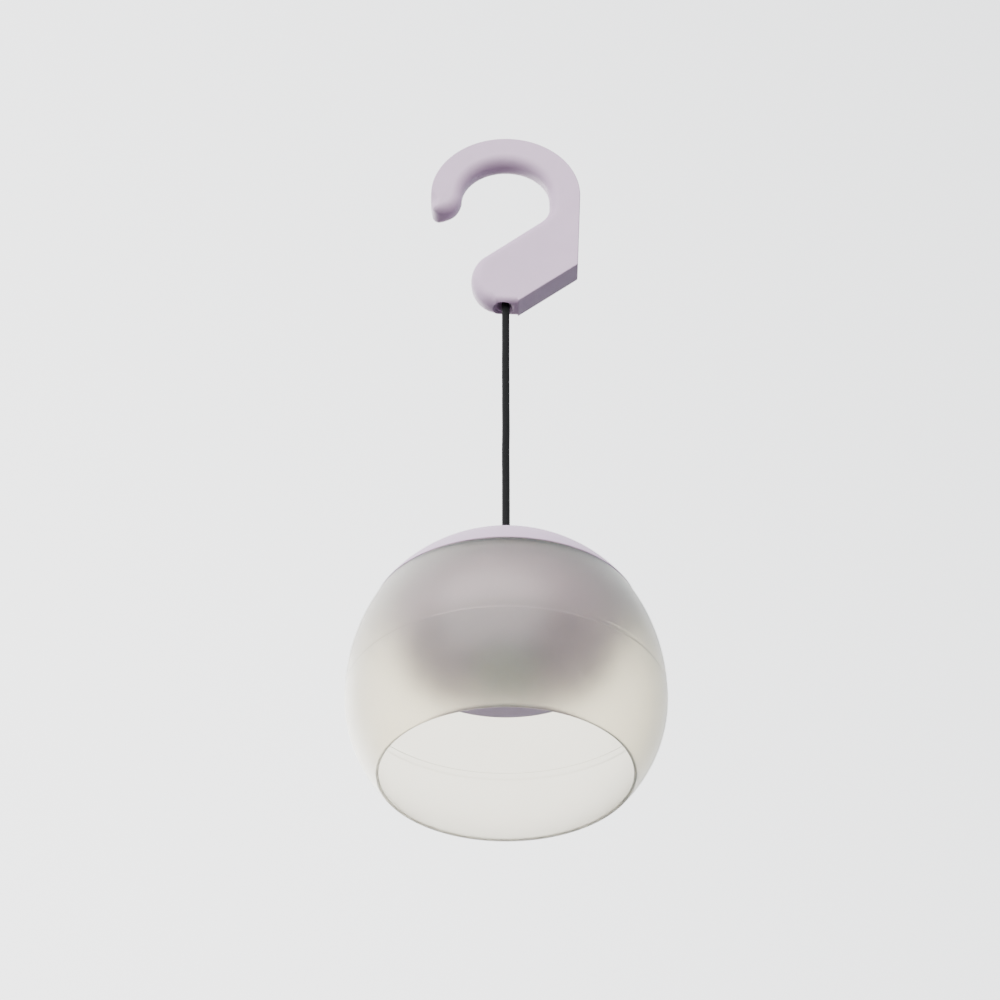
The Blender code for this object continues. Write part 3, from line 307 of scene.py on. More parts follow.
def turned_mesh(outline, steps=FINE_STEPS):
    """A new bmesh with a turned outline."""
    bm = bmesh.new()
    turn_into(bm, outline, steps)
    return bm


def add_rod(bm, x, y, low, high, radius, steps=MEDIUM_STEPS):
    """Adds an upright cylinder."""
    made = bmesh.ops.create_cone(
        bm, cap_ends=True, segments=steps, radius1=radius, radius2=radius, depth=high - low
    )
    bmesh.ops.translate(bm, verts=made["verts"], vec=(x, y, (low + high) / 2))


def add_block(bm, low, high):
    """Adds a box between two corners."""
    made = bmesh.ops.create_cube(bm, size=1.0)
    bmesh.ops.scale(bm, verts=made["verts"], vec=Vector(high) - Vector(low))
    bmesh.ops.translate(bm, verts=made["verts"], vec=(Vector(low) + Vector(high)) / 2)


def loft(bm, rings):
    """Adds closed rings of points, joined one to the next, with a face at each end."""
    made = [[bm.verts.new(point) for point in ring] for ring in rings]
    bm.faces.new(made[0])
    bm.faces.new(list(reversed(made[-1])))
    for ring, following in zip(made, made[1:]):
        for i in range(len(ring)):
            after = (i + 1) % len(ring)
            bm.faces.new((ring[i], ring[after], following[after], following[i]))


# ---- Pieces ------------------------------------------------------------------------------------
def to_object(name, bm, finish=None, matrix=None, sharp=SHARP_ANGLE):
    """An object from a bmesh, smooth with sharp corners, its points in the row frame."""
    bmesh.ops.recalc_face_normals(bm, faces=bm.faces)
    if matrix is not None:
        bm.transform(matrix)
    mesh = bpy.data.meshes.new(name)
    bm.to_mesh(mesh)
    bm.free()
    mesh.shade_smooth()
    mesh.set_sharp_from_angle(angle=math.radians(sharp))
    if finish is not None:
        mesh.materials.append(finish)
    made = bpy.data.objects.new(name, mesh)
    bpy.context.collection.objects.link(made)
    return made


def carve(piece, bm, operation, matrix=None):
    """Cuts a bmesh from a piece, joins it on or trims the piece with it, and keeps the result."""
    other = to_object("carver", bm, None, matrix)
    step = piece.modifiers.new("carve", "BOOLEAN")
    step.operation = operation
    step.solver = "EXACT"
    step.object = other
    settle(piece)
    bpy.data.objects.remove(other, do_unlink=True)


def settle(piece):
    """Applies a piece's modifiers to its mesh."""
    bpy.context.view_layer.update()
    shown = piece.evaluated_get(bpy.context.evaluated_depsgraph_get())
    mesh = bpy.data.meshes.new_from_object(shown)
    piece.modifiers.clear()
    piece.data = mesh
    mesh.shade_smooth()
    mesh.set_sharp_from_angle(angle=math.radians(SHARP_ANGLE))


def weigh_normals(piece):
    """Keeps flat faces flat beside rounded edges."""
    step = piece.modifiers.new("flat faces stay flat", "WEIGHTED_NORMAL")
    step.keep_sharp = True
    step.weight = 60


def put(piece, body, slot, *nodes):
    """Attaches a piece to the body that it moves with and hides the CAD nodes that it stands for; slot is not
    used.
    """
    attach(piece, body)
    if nodes:
        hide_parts(*nodes)
    return piece


LIFT = Matrix.Translation((0.0, 0.0, EQUATOR_Z))
BUTTON_FRAME = (
    LIFT
    @ Matrix.Translation((0.0, BUTTON_Y, CAP_CENTRE_Z + CAP_RADIUS * math.cos(BUTTON_TILT)))
    @ Matrix.Rotation(-BUTTON_TILT, 4, "X")
)


# ---- Materials ---------------------------------------------------------------------------------
class Nodes:
    """A material's node tree, with short calls for the nodes that the finishes share."""

    def __init__(self, name):
        self.material = bpy.data.materials.new(name)
        self.material.use_nodes = True
        self.tree = self.material.node_tree
        self.shader = self.tree.nodes["Principled BSDF"]
        self.place = self.add("ShaderNodeTexCoord").outputs["Object"]

    def add(self, kind, **settings):
        """Adds a node with settings."""
        node = self.tree.nodes.new(kind)
        for key, value in settings.items():
            setattr(node, key, value)
        return node

    def link(self, source, target):
        """Joins an output to an input."""
        self.tree.links.new(source, target)

    def set(self, **values):
        """Sets the shader's own sockets, named with _ for spaces."""
        for key, value in values.items():
            self.shader.inputs[key.replace("_", " ")].default_value = value

    def noise(self, scale, detail=2.0, roughness=0.5, stretch=None):
        """Noise with features of about 1/scale metres."""
        node = self.add("ShaderNodeTexNoise")
        node.inputs["Scale"].default_value = scale
        node.inputs["Detail"].default_value = detail
        node.inputs["Roughness"].default_value = roughness
        source = self.place
        if stretch is not None:
            mapping = self.add("ShaderNodeMapping")
            mapping.inputs["Scale"].default_value = stretch
            self.link(self.place, mapping.inputs["Vector"])
            source = mapping.outputs["Vector"]
        self.link(source, node.inputs["Vector"])
        return node.outputs["Fac"]

    def spread(self, source, low, high, from_low=0.3, from_high=0.7):
        """Maps a noise's usual range to low..high."""
        node = self.add("ShaderNodeMapRange")
        for key, value in (
            ("From Min", from_low), ("From Max", from_high), ("To Min", low), ("To Max", high)
        ):
            node.inputs[key].default_value = value
        self.link(source, node.inputs["Value"])
        return node.outputs["Result"]

    def blend(self, share, one, other):
        """Mixes two colours by a share between 0 and 1."""
        node = self.add("ShaderNodeMix", data_type="RGBA")
        self.link(share, node.inputs["Factor"])
        for socket, colour in ((node.inputs["A"], one), (node.inputs["B"], other)):
            if isinstance(colour, tuple):
                socket.default_value = (*colour, 1.0)
            else:
                self.link(colour, socket)
        return node.outputs["Result"]

    def colour(self, source):
        """Links the base colour."""
        self.link(source, self.shader.inputs["Base Color"])

    def roughness(self, source):
        """Links the roughness."""
        self.link(source, self.shader.inputs["Roughness"])

    def bump(self, source, depth, strength=1.0):
        """Links a relief of that depth in metres."""
        node = self.add("ShaderNodeBump")
        node.inputs["Distance"].default_value = depth
        node.inputs["Strength"].default_value = strength
        self.link(source, node.inputs["Height"])
        self.link(node.outputs["Normal"], self.shader.inputs["Normal"])


def shaded(colour, share):
    """A colour made lighter or darker."""
    return tuple(min(1.0, c * share) for c in colour)


def moulded(name, colour, rough, grain=1500.0, depth=0.03 * MM):
    """Matte moulded plastic: a fine spark-eroded grain and slightly uneven colour."""
    made = Nodes(name)
    patches = made.spread(made.noise(45.0, 3.0), 0.0, 1.0)
    edges = made.add("ShaderNodeNewGeometry").outputs["Pointiness"]
    worn = made.spread(edges, 0.0, 1.0, 0.52, 0.6)
    base = made.blend(patches, shaded(colour, 0.97), shaded(colour, 1.02))
    made.colour(made.blend(worn, base, shaded(colour, 1.06)))
    made.roughness(made.spread(made.noise(260.0), rough - 0.05, rough + 0.06))
    made.bump(made.noise(grain, 3.0, 0.6), depth)
    made.set(IOR=1.49)
    return made.material


def frosted(name, colour, rough, clear):
    """Frosted translucent plastic; clear is the share of its light that isn't scattered inside."""
    made = Nodes(name)
    patches = made.spread(made.noise(30.0, 2.0), 0.0, 1.0)
    made.colour(made.blend(patches, shaded(colour, 0.985), shaded(colour, 1.01)))
    made.roughness(made.spread(made.noise(400.0), rough - 0.02, rough + 0.03))
    made.bump(made.noise(900.0, 1.0), 0.002 * MM)
    made.set(IOR=1.47, Specular_IOR_Level=0.25, Transmission_Weight=clear)
    made.set(
        Subsurface_Weight=1.0, Subsurface_Scale=4.0 * MM, Subsurface_Radius=(1.0, 0.85, 0.68)
    )
    return made.material


def rubber(name, colour):
    """Matte silicone."""
    made = Nodes(name)
    made.colour(made.blend(made.spread(made.noise(120.0), 0.0, 1.0), colour, shaded(colour, 1.12)))
    made.roughness(made.spread(made.noise(500.0), 0.62, 0.78))
    made.bump(made.noise(1800.0), 0.02 * MM)
    made.set(IOR=1.41, Specular_IOR_Level=0.35)
    return made.material


def metal(name, colour, rough, stretch=(1.0, 1.0, 12.0)):
    """Plated or drawn metal with fine lines."""
    made = Nodes(name)
    lines = made.noise(600.0, 3.0, 0.6, stretch)
    made.colour(made.blend(made.spread(lines, 0.0, 1.0), shaded(colour, 0.9), shaded(colour, 1.05)))
    made.roughness(made.spread(lines, rough - 0.06, rough + 0.1))
    made.bump(lines, 0.008 * MM)
    made.set(Metallic=1.0)
    return made.material


def braid_finish():
    """Black polyester: each strand is a bundle of fine threads, some of them a little worn."""
    made = Nodes("black braided cord")
    threads = made.noise(2600.0, 2.0, 0.6, (1.0, 1.0, 0.35))
    dark, worn = (0.003, 0.0035, 0.0035), (0.012, 0.013, 0.0135)
    made.colour(made.blend(made.spread(threads, 0.0, 1.0), dark, worn))
    made.roughness(made.spread(threads, 0.78, 0.92))
    made.bump(threads, 0.05 * MM)
    made.set(Sheen_Weight=0.06, Sheen_Roughness=0.5, Specular_IOR_Level=0.16)
    return made.material


def board_finish(name, mask, track):
    """Solder mask over copper: straight tracks show as slightly lighter lines."""
    made = Nodes(name)
    bricks = made.add("ShaderNodeTexBrick", offset=0.5, squash=1.0)
    bricks.inputs["Color1"].default_value = (0.0, 0.0, 0.0, 1.0)
    bricks.inputs["Color2"].default_value = (0.0, 0.0, 0.0, 1.0)
    bricks.inputs["Mortar"].default_value = (1.0, 1.0, 1.0, 1.0)
    bricks.inputs["Scale"].default_value = 260.0
    bricks.inputs["Mortar Size"].default_value = 0.06
    made.link(made.place, bricks.inputs["Vector"])
    made.colour(made.blend(bricks.outputs["Color"], mask, track))
    made.roughness(made.spread(made.noise(300.0), 0.3, 0.42))
    made.bump(bricks.outputs["Color"], 0.03 * MM)
    return made.material


def make_finishes():
    """Every material, by the record's slot."""
    return {
        "lavender_plastic": moulded("lavender plastic", (0.66, 0.49, 0.66), 0.5),
        # The housing is the cap's lavender plastic painted darker and bluer: painted shade for its underside,
        # which hangs in shadow.
        "grey_plastic": moulded("grey plastic", (0.46, 0.38, 0.58), 0.6),
        "frosted_plastic": frosted("frosted plastic", (0.975, 0.925, 0.785), 0.305, 0.985),
        # The lens is tinted darker and bluer than milky plastic: painted shade for the dark middle under the
        # housing.
        "lens_plastic": frosted("opal lens", (0.58, 0.65, 0.72), 0.3, 0.6),
        "black_cord": braid_finish(),
        "grey_silicone": rubber("grey silicone", (0.30, 0.265, 0.31)),
        "plated_steel": metal("zinc plated steel", (0.66, 0.66, 0.65), 0.34),
        "nickel": metal("nickel", (0.72, 0.70, 0.66), 0.28, (1.0, 12.0, 1.0)),
        "green_board": board_finish("green circuit board", (0.015, 0.10, 0.05), (0.04, 0.19, 0.09)),
        "white_board": board_finish("white circuit board", (0.80, 0.80, 0.78), (0.86, 0.86, 0.84)),
        "led_phosphor": moulded("LED phosphor", (0.90, 0.72, 0.20), 0.4, 3000.0, 0.01 * MM),
        "chip_epoxy": moulded("chip epoxy", (0.02, 0.02, 0.022), 0.55, 4000.0, 0.01 * MM),
        "cell_wrap": moulded("cell wrap", (0.10, 0.16, 0.34), 0.3, 400.0, 0.01 * MM),
        "black_plastic": moulded("black plastic", (0.03, 0.03, 0.032), 0.5),
        "red_wire": moulded("red wire", (0.45, 0.02, 0.02), 0.4, 900.0, 0.01 * MM),
        "black_wire": moulded("black wire", (0.02, 0.02, 0.02), 0.4, 900.0, 0.01 * MM),
    }


# ---- Camera, stage -----------------------------------------------------------------------------
def make_camera():
    """Looks up at the lantern from the front and below."""
    data = bpy.data.cameras.new("camera")
    data.sensor_width = 36.0
    data.lens = CAMERA_LENS
    made = bpy.data.objects.new("camera", data)
    made.location = (
        0.0,
        -CAMERA_DISTANCE * math.cos(CAMERA_BELOW),
        EQUATOR_Z - CAMERA_DISTANCE * math.sin(CAMERA_BELOW),
    )
    made.rotation_euler = (math.pi / 2 + CAMERA_PITCH, 0.0, CAMERA_YAW)
    bpy.context.collection.objects.link(made)
    bpy.context.scene.camera = made


def make_light(name, place, target, size, power, colour):
    """A large soft light."""
    data = bpy.data.lights.new(name, "AREA")
    data.shape = "SQUARE"
    data.size = size
    data.energy = power
    data.color = colour
    made = bpy.data.objects.new(name, data)
    made.location = place
    made.rotation_euler = (Vector(target) - Vector(place)).to_track_quat("-Z", "Y").to_euler()
    bpy.context.collection.objects.link(made)


def make_stage():
    """A pale floor well below, a pale surround that is dimmer underneath, and soft lights."""
    bm = bmesh.new()
    bmesh.ops.create_grid(bm, x_segments=1, y_segments=1, size=FLOOR_HALF)
    finish = Nodes("pale floor")
    finish.colour(finish.blend(finish.noise(1.5), (0.62, 0.62, 0.61), (0.66, 0.66, 0.65)))
    finish.set(Roughness=0.8)
    floor = to_object("floor", bm, finish.material, Matrix.Translation((0.0, 0.0, FLOOR_Z)))
    floor.visible_diffuse = False
    floor.visible_glossy = False

    world = bpy.data.worlds.new("soft surround")
    world.use_nodes = True
    bpy.context.scene.world = world
    tree = world.node_tree
    backdrop = tree.nodes["Background"]
    direction = tree.nodes.new("ShaderNodeTexCoord").outputs["Generated"]
    facing = tree.nodes.new("ShaderNodeVectorMath")
    facing.operation = "DOT_PRODUCT"
    facing.inputs[1].default_value = BRIGHT_SIDE
    tree.links.new(direction, facing.inputs[0])
    lift = tree.nodes.new("ShaderNodeMapRange")
    lift.inputs["From Min"].default_value = -1.0
    tree.links.new(facing.outputs["Value"], lift.inputs["Value"])
    ramp = tree.nodes.new("ShaderNodeValToRGB")
    stops = ramp.color_ramp.elements
    for stop, (place, colour) in zip((stops[0], stops[1], stops.new(0.5)), SURROUND):
        stop.position = place
        stop.color = (*colour, 1.0)
    tree.links.new(lift.outputs["Result"], ramp.inputs["Fac"])
    tree.links.new(ramp.outputs["Color"], backdrop.inputs["Color"])
    split = tree.nodes.new("ShaderNodeSeparateXYZ")
    tree.links.new(direction, split.inputs[0])
    dimming = tree.nodes.new("ShaderNodeMapRange")
    dimming.inputs["From Min"].default_value = DIMMING[0]
    dimming.inputs["From Max"].default_value = DIMMING[1]
    dimming.inputs["To Min"].default_value = DIMMING[2] * SURROUND_STRENGTH
    dimming.inputs["To Max"].default_value = SURROUND_STRENGTH
    tree.links.new(split.outputs["Z"], dimming.inputs["Value"])
    tree.links.new(dimming.outputs["Result"], backdrop.inputs["Strength"])

    for light in LIGHTS:
        make_light(*light)


# ---- Cord --------------------------------------------------------------------------------------
def braid_height(turn, along):
    """Relief of a plain braid, 0 to 1, at a turn round the cord and a distance along it."""
    one = turn * BRAID_STRANDS / math.tau + along * BRAID_STRANDS / BRAID_PITCH
    other = turn * BRAID_STRANDS / math.tau - along * BRAID_STRANDS / BRAID_PITCH
    across, length_on = one % 1.0, other % 1.0
    if (math.floor(one) + math.floor(other)) % 2:
        across, length_on = length_on, across
    crown = math.sqrt(max(0.0, 1.0 - (2.0 * across - 1.0) ** 2))
    return crown * (1.0 - 0.55 * (2.0 * length_on - 1.0) ** 2)


def braided_tube(name, path, finish, start=0.0, around=48, radius=BRAID_RADIUS):
    """A braided tube with closed ends, start being the braid's place along the cord there."""
    points = [Vector(p) for p in path]
    side = Vector((1.0, 0.0, 0.0))
    bm = bmesh.new()
    rings, along = [], start
    for i, point in enumerate(points):
        ahead = (points[min(i + 1, len(points) - 1)] - points[max(i - 1, 0)]).normalized()
        if abs(ahead.dot(side)) > 0.9 and i == 0:
            side = Vector((0.0, 1.0, 0.0))
        side = (side - ahead * side.dot(ahead)).normalized()
        up = ahead.cross(side)
        if i:
            along += (point - points[i - 1]).length
        ring = []
        for k in range(around):
            turn = math.tau * k / around
            reach = radius - BRAID_RELIEF * (1.0 - braid_height(turn, along))
            ring.append(point + (side * math.cos(turn) + up * math.sin(turn)) * reach)
        rings.append(ring)
    loft(bm, rings)
    return to_object(name, bm, finish, None, BRAID_SHARP_ANGLE)


def straight_path(high, low, sway=0.0):
    """Points down the cord, in slight waves that fade towards its ends."""
    count = max(2, round((high - low) / CORD_POINT_SPACING) + 1)
    points = []
    for i in range(count):
        z = high + (low - high) * i / (count - 1)
        fade = math.sin(math.pi * i / (count - 1)) ** 2
        wave = math.sin(z / (7.5 * MM)) + 0.6 * math.sin(z / (3.7 * MM) + 1.0)
        points.append((sway * fade * wave, 0.4 * sway * fade * math.cos(z / (9.0 * MM)), z))
    return points


def make_cord(finish):
    """The whole cord: a piece across each pivot and the long stretch between them."""
    at_hook = HOOK_PIVOT_Z - BEND_REACH
    at_tail = TAIL_PIVOT_Z + BEND_REACH
    above_cap = TAIL_PIVOT_Z - BEND_REACH
    stub_top, stub_bottom = POCKET_FLOOR_Z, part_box("knot_washer")[0].z

    def stretch(name, bodies, high, low, pivot_z, sway=0.0):
        path = straight_path(high, low, sway)
        made = braided_tube(name, path, finish, -high)
        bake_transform(made)
        return made, path

    main, path = stretch(
        "cord_stretch", ("cord_top", "cord"), at_hook, at_tail, BEND_PIVOT_Z, CORD_SWAY
    )
    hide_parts("cord_lower", "cord_upper", "cord_end")
    top, _ = stretch("cord_in_hook", ("hook", "cord_top"), stub_top, at_hook, HOOK_PIVOT_Z)
    tail, _ = stretch("cord_above_cap", ("cord", "cord_tail"), at_tail, above_cap, TAIL_PIVOT_Z)
    end, _ = stretch(
        "cord_in_cap", ("cord_tail", "cord_anchor"), above_cap, stub_bottom, CAP_PIVOT_Z
    )

    upper = make_knot("stopper_knot_in_hook", finish, "hook", "upper_knot", True)
    lower = make_knot("stopper_knot_in_cap", finish, "cord_anchor", "lower_knot", False)


def make_knot(name, finish, body, node, at_top):
    """A stopper knot: two turns of the cord, wound up the top or the bottom of its CAD node."""
    low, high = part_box(node)
    base = high.z - KNOT_HEIGHT if at_top else low.z
    ring = (high.x - low.x) / 2 - KNOT_CORD / 2
    points = []
    steps = 150
    for i in range(steps + 1):
        t = i / steps
        turn = math.tau * KNOT_TURNS * t
        rise = KNOT_CORD / 2 + (KNOT_HEIGHT - KNOT_CORD) * t
        points.append((ring * math.cos(turn), ring * math.sin(turn), base + rise))
    piece = braided_tube(name, points, finish, 0.0, 40, KNOT_CORD / 2)
    return put(piece, body, "black_cord", node)


# ---- Hook --------------------------------------------------------------------------------------
def nose_point(turn):
    """A point on the ellipse round the end of the hook's arm."""
    return (
        NOSE_CENTRE[0] + NOSE_ACROSS * math.cos(turn),
        NOSE_CENTRE[1] + NOSE_DOWN * math.sin(turn),
    )


def hook_outline():
    """The hook's outline from the front, and each point's largest rounding, None where crisp."""
    arm = math.radians(ARM_SLOPE)
    soft = arc((0.0, -BIGHT_RADIUS), BIGHT_RADIUS, 180, 0, 73)
    elbow = (BIGHT_RADIUS - ELBOW_RADIUS, ELBOW_TOP_Z)
    soft += arc(elbow, ELBOW_RADIUS, 0, ARM_SLOPE - 90, 20)
    join = math.pi / 2 + math.atan(math.tan(arm) * NOSE_ACROSS / NOSE_DOWN)
    nose_steps = 44
    crest, last = Vector(nose_point(join)), Vector(soft[-1])
    soft += [tuple(last.lerp(crest, i / 16)) for i in range(1, 16)]
    for i in range(nose_steps):
        soft.append(nose_point(join + (1.5 * math.pi - join) * i / (nose_steps - 1)))
    corners = [Vector((FACET_RIGHT_X, FACET_Z)), Vector(SIDE_BOTTOM)]
    crown_centre = (0.0, CROWN_CENTRE_Z)
    crown = arc(crown_centre, CROWN_RADIUS, CROWN_START, SOFT_ANGLE, 90)
    crisp = softened([Vector(soft[-1]), *corners, Vector(crown[0])]) + crown
    fading = arc(crown_centre, CROWN_RADIUS, SOFT_ANGLE, TIP_ANGLE, 14)[1:-1]
    turn = math.radians(TIP_ANGLE)
    reach = CROWN_RADIUS - TIP_RADIUS
    tip_centre = (reach * math.cos(turn), CROWN_CENTRE_Z + reach * math.sin(turn))
    corner = arc(tip_centre, TIP_RADIUS, TIP_ANGLE, 270, 12)
    tip = between(corner[-1], TIP_CONTROL, soft[0], 19)
    points = soft + crisp + fading + corner + tip
    largest = [HOOK_ROUNDING] * len(soft) + [None] * len(crisp) + [HOOK_ROUNDING] * len(fading)
    largest += [TIP_ROUNDING] * len(corner) + [HOOK_ROUNDING] * len(tip)
    return points, largest


def between(start, control, end, count):
    """Points inside a quadratic curve from start to end."""
    start, control, end = Vector(start), Vector(control), Vector(end)
    shares = [i / (count + 1) for i in range(1, count + 1)]
    return [tuple(start * (1 - t) ** 2 + control * 2 * t * (1 - t) + end * t**2) for t in shares]


def softened(line):
    """The inner corners of an open line, each rounded, with points between them."""
    inner = [(p.x, p.y, CORNER_RADIUS) for p in line[1:-1]]
    bent = rounded([tuple(line[0]), *inner, tuple(line[-1])])[1:-1]
    spaced = []
    for here, after in zip(bent, bent[1:]):
        here, after = Vector(here), Vector(after)
        parts = int((after - here).length / POINT_SPACING) + 1
        spaced += [tuple(here.lerp(after, k / parts)) for k in range(parts)]
    return spaced + [bent[-1]]


def edge_radii(points, largest, crisp):
    """Each point's rounding, which grows steadily along the outline away from a smaller one."""
    radii = [crisp if limit is None else limit for limit in largest]
    count = len(points)
    for step in (1, -1):
        for i in range(0, step * 2 * count, step):
            here, before = i % count, (i - step) % count
            length = (Vector(points[here]) - Vector(points[before])).length
            radii[here] = min(radii[here], radii[before] + ROUNDING_GROWTH * length)
    for _ in range(ROUNDING_SMOOTHINGS):
        radii = [(radii[i - 1] + radii[i] + radii[(i + 1) % count]) / 3 for i in range(count)]
    return radii


def inward_normals(points):
    """A direction into the outline at each point, longer where the outline turns a corner."""
    normals = []
    for i, point in enumerate(points):
        before = (Vector(point) - Vector(points[i - 1])).normalized()
        after = (Vector(points[(i + 1) % len(points)]) - Vector(point)).normalized()
        along = (before + after).normalized()
        normals.append(Vector((-along.y, along.x)) / max(along.dot(after), LEAST_MITRE))
    return normals


def make_hook(finish):
    """The moulded hook: flat faces, well rounded inner edges and a flared hole for the cord."""
    points, largest = hook_outline()
    normals = inward_normals(points)
    rings = []
    for side, crisp in ((-1, CRISP_FRONT), (1, CRISP_BACK)):
        radii = edge_radii(points, largest, crisp)
        quarter = [math.pi / 2 * i / ROUNDING_STEPS for i in range(ROUNDING_STEPS + 1)]
        if side > 0:
            quarter.reverse()
        for turn in quarter:
            ring = []
            for point, normal, radius in zip(points, normals, radii):
                moved = Vector(point) + normal * radius * (1 - math.sin(turn))
                depth = HOOK_DEPTH / 2 - radius * (1 - math.cos(turn))
                ring.append((moved.x, side * depth, moved.y))
            rings.append(ring)
    bm = bmesh.new()
    loft(bm, rings)
    hook = to_object("hook_moulding", bm, finish)

    slope = (FUNNEL_RADIUS - BORE_RADIUS) / (FUNNEL_TOP_Z - FACET_Z)
    flare = arc((FUNNEL_RADIUS + FUNNEL_LIP, FACET_Z + FUNNEL_LIP), FUNNEL_LIP, 180, 270, 10)
    flare[0] = (FUNNEL_RADIUS - slope * FUNNEL_LIP, FACET_Z + FUNNEL_LIP)
    outline = [(0.0, POCKET_TOP_Z), (POCKET_RADIUS, POCKET_TOP_Z)]
    outline += [(POCKET_RADIUS, POCKET_FLOOR_Z), (BORE_RADIUS, POCKET_FLOOR_Z)]
    outline += [(BORE_RADIUS, FUNNEL_TOP_Z), *flare]
    outline += [(FUNNEL_RADIUS + FUNNEL_LIP, FACET_Z - GAP), (0.0, FACET_Z - GAP)]
    cutter = turned_mesh(outline, 56)
    for vert in cutter.verts:
        if vert.co.z < FUNNEL_TOP_Z - 1e-6:
            vert.co.x += FUNNEL_SHIFT_X * (FUNNEL_TOP_Z - vert.co.z) / (FUNNEL_TOP_Z - FACET_Z)
    carve(hook, cutter, "DIFFERENCE")
    weigh_normals(hook)
    put(hook, "hook", "lavender_plastic", "hook")


# ---- Globe -------------------------------------------------------------------------------------
def make_shade(finish):
    """The shade with its halves welded: a fine line outside, one inside and a soft mouth."""
    flange_low = SHADE_TOP - SHADE_FLANGE
    brim_radius = radius_at(UPPER_ARC, BRIM_TOP)
    outside = [(brim_radius - BRIM_WIDTH, SHADE_TOP), (brim_radius - BRIM_WIDTH, BRIM_TOP)]
    outside.append((brim_radius, BRIM_TOP, 0.1 * MM))
    outside += arc_rings(UPPER_ARC, SHADE_TOP - RIM_STEP, SEAM_OUTER + SEAM_WIDTH / 2, 44)
    outside.append((radius_at(UPPER_ARC, SEAM_OUTER) - SEAM_DEPTH_OUTER, SEAM_OUTER))
    outside += arc_rings(LOWER_ARC, SEAM_OUTER - SEAM_WIDTH / 2, MOUTH_HEIGHT + RIM_STEP, 44)
    outside.append((radius_at(LOWER_ARC, MOUTH_HEIGHT), MOUTH_HEIGHT, MOUTH_ROUNDING))
    inner_lower = arc_rings(LOWER_ARC, MOUTH_HEIGHT, SEAM_INNER - SEAM_WIDTH / 2, 44, SHADE_WALL)
    inside = [(*inner_lower[0], MOUTH_ROUNDING), *inner_lower[2:]]
    inside.append((radius_at(UPPER_ARC, SEAM_INNER) - SHADE_WALL + SEAM_DEPTH_INNER, SEAM_INNER))
    inside += arc_rings(UPPER_ARC, SEAM_INNER + SEAM_WIDTH / 2, flange_low, 40, SHADE_WALL)
    edge = 0.15 * MM
    flange = [(SHADE_FLANGE_INNER, flange_low, edge), (SHADE_FLANGE_INNER, SHADE_TOP, edge)]
    outline = rounded(outside + inside + flange, 4)
    piece = to_object("frosted_shade", turned_mesh(outline), finish, LIFT)
    put(piece, "lantern", "frosted_plastic", "shade_upper", "shade_lower")


def screw_places():
    """The four housing screws, on the diagonals."""
    turns = [math.radians(45 + 90 * i) for i in range(4)]
    return [(SCREW_RING * math.cos(t), SCREW_RING * math.sin(t)) for t in turns]


def add_rods(bm, places, low, high, radius, steps=POST_STEPS):
    """Adds an upright cylinder at each place."""
    for x, y in places:
        add_rod(bm, x, y, low, high, radius, steps)


def taken(piece):
    """A piece's mesh as a bmesh; the piece itself is removed."""
    bm = bmesh.new()
    bm.from_mesh(piece.data)
    bpy.data.objects.remove(piece, do_unlink=True)
    return bm


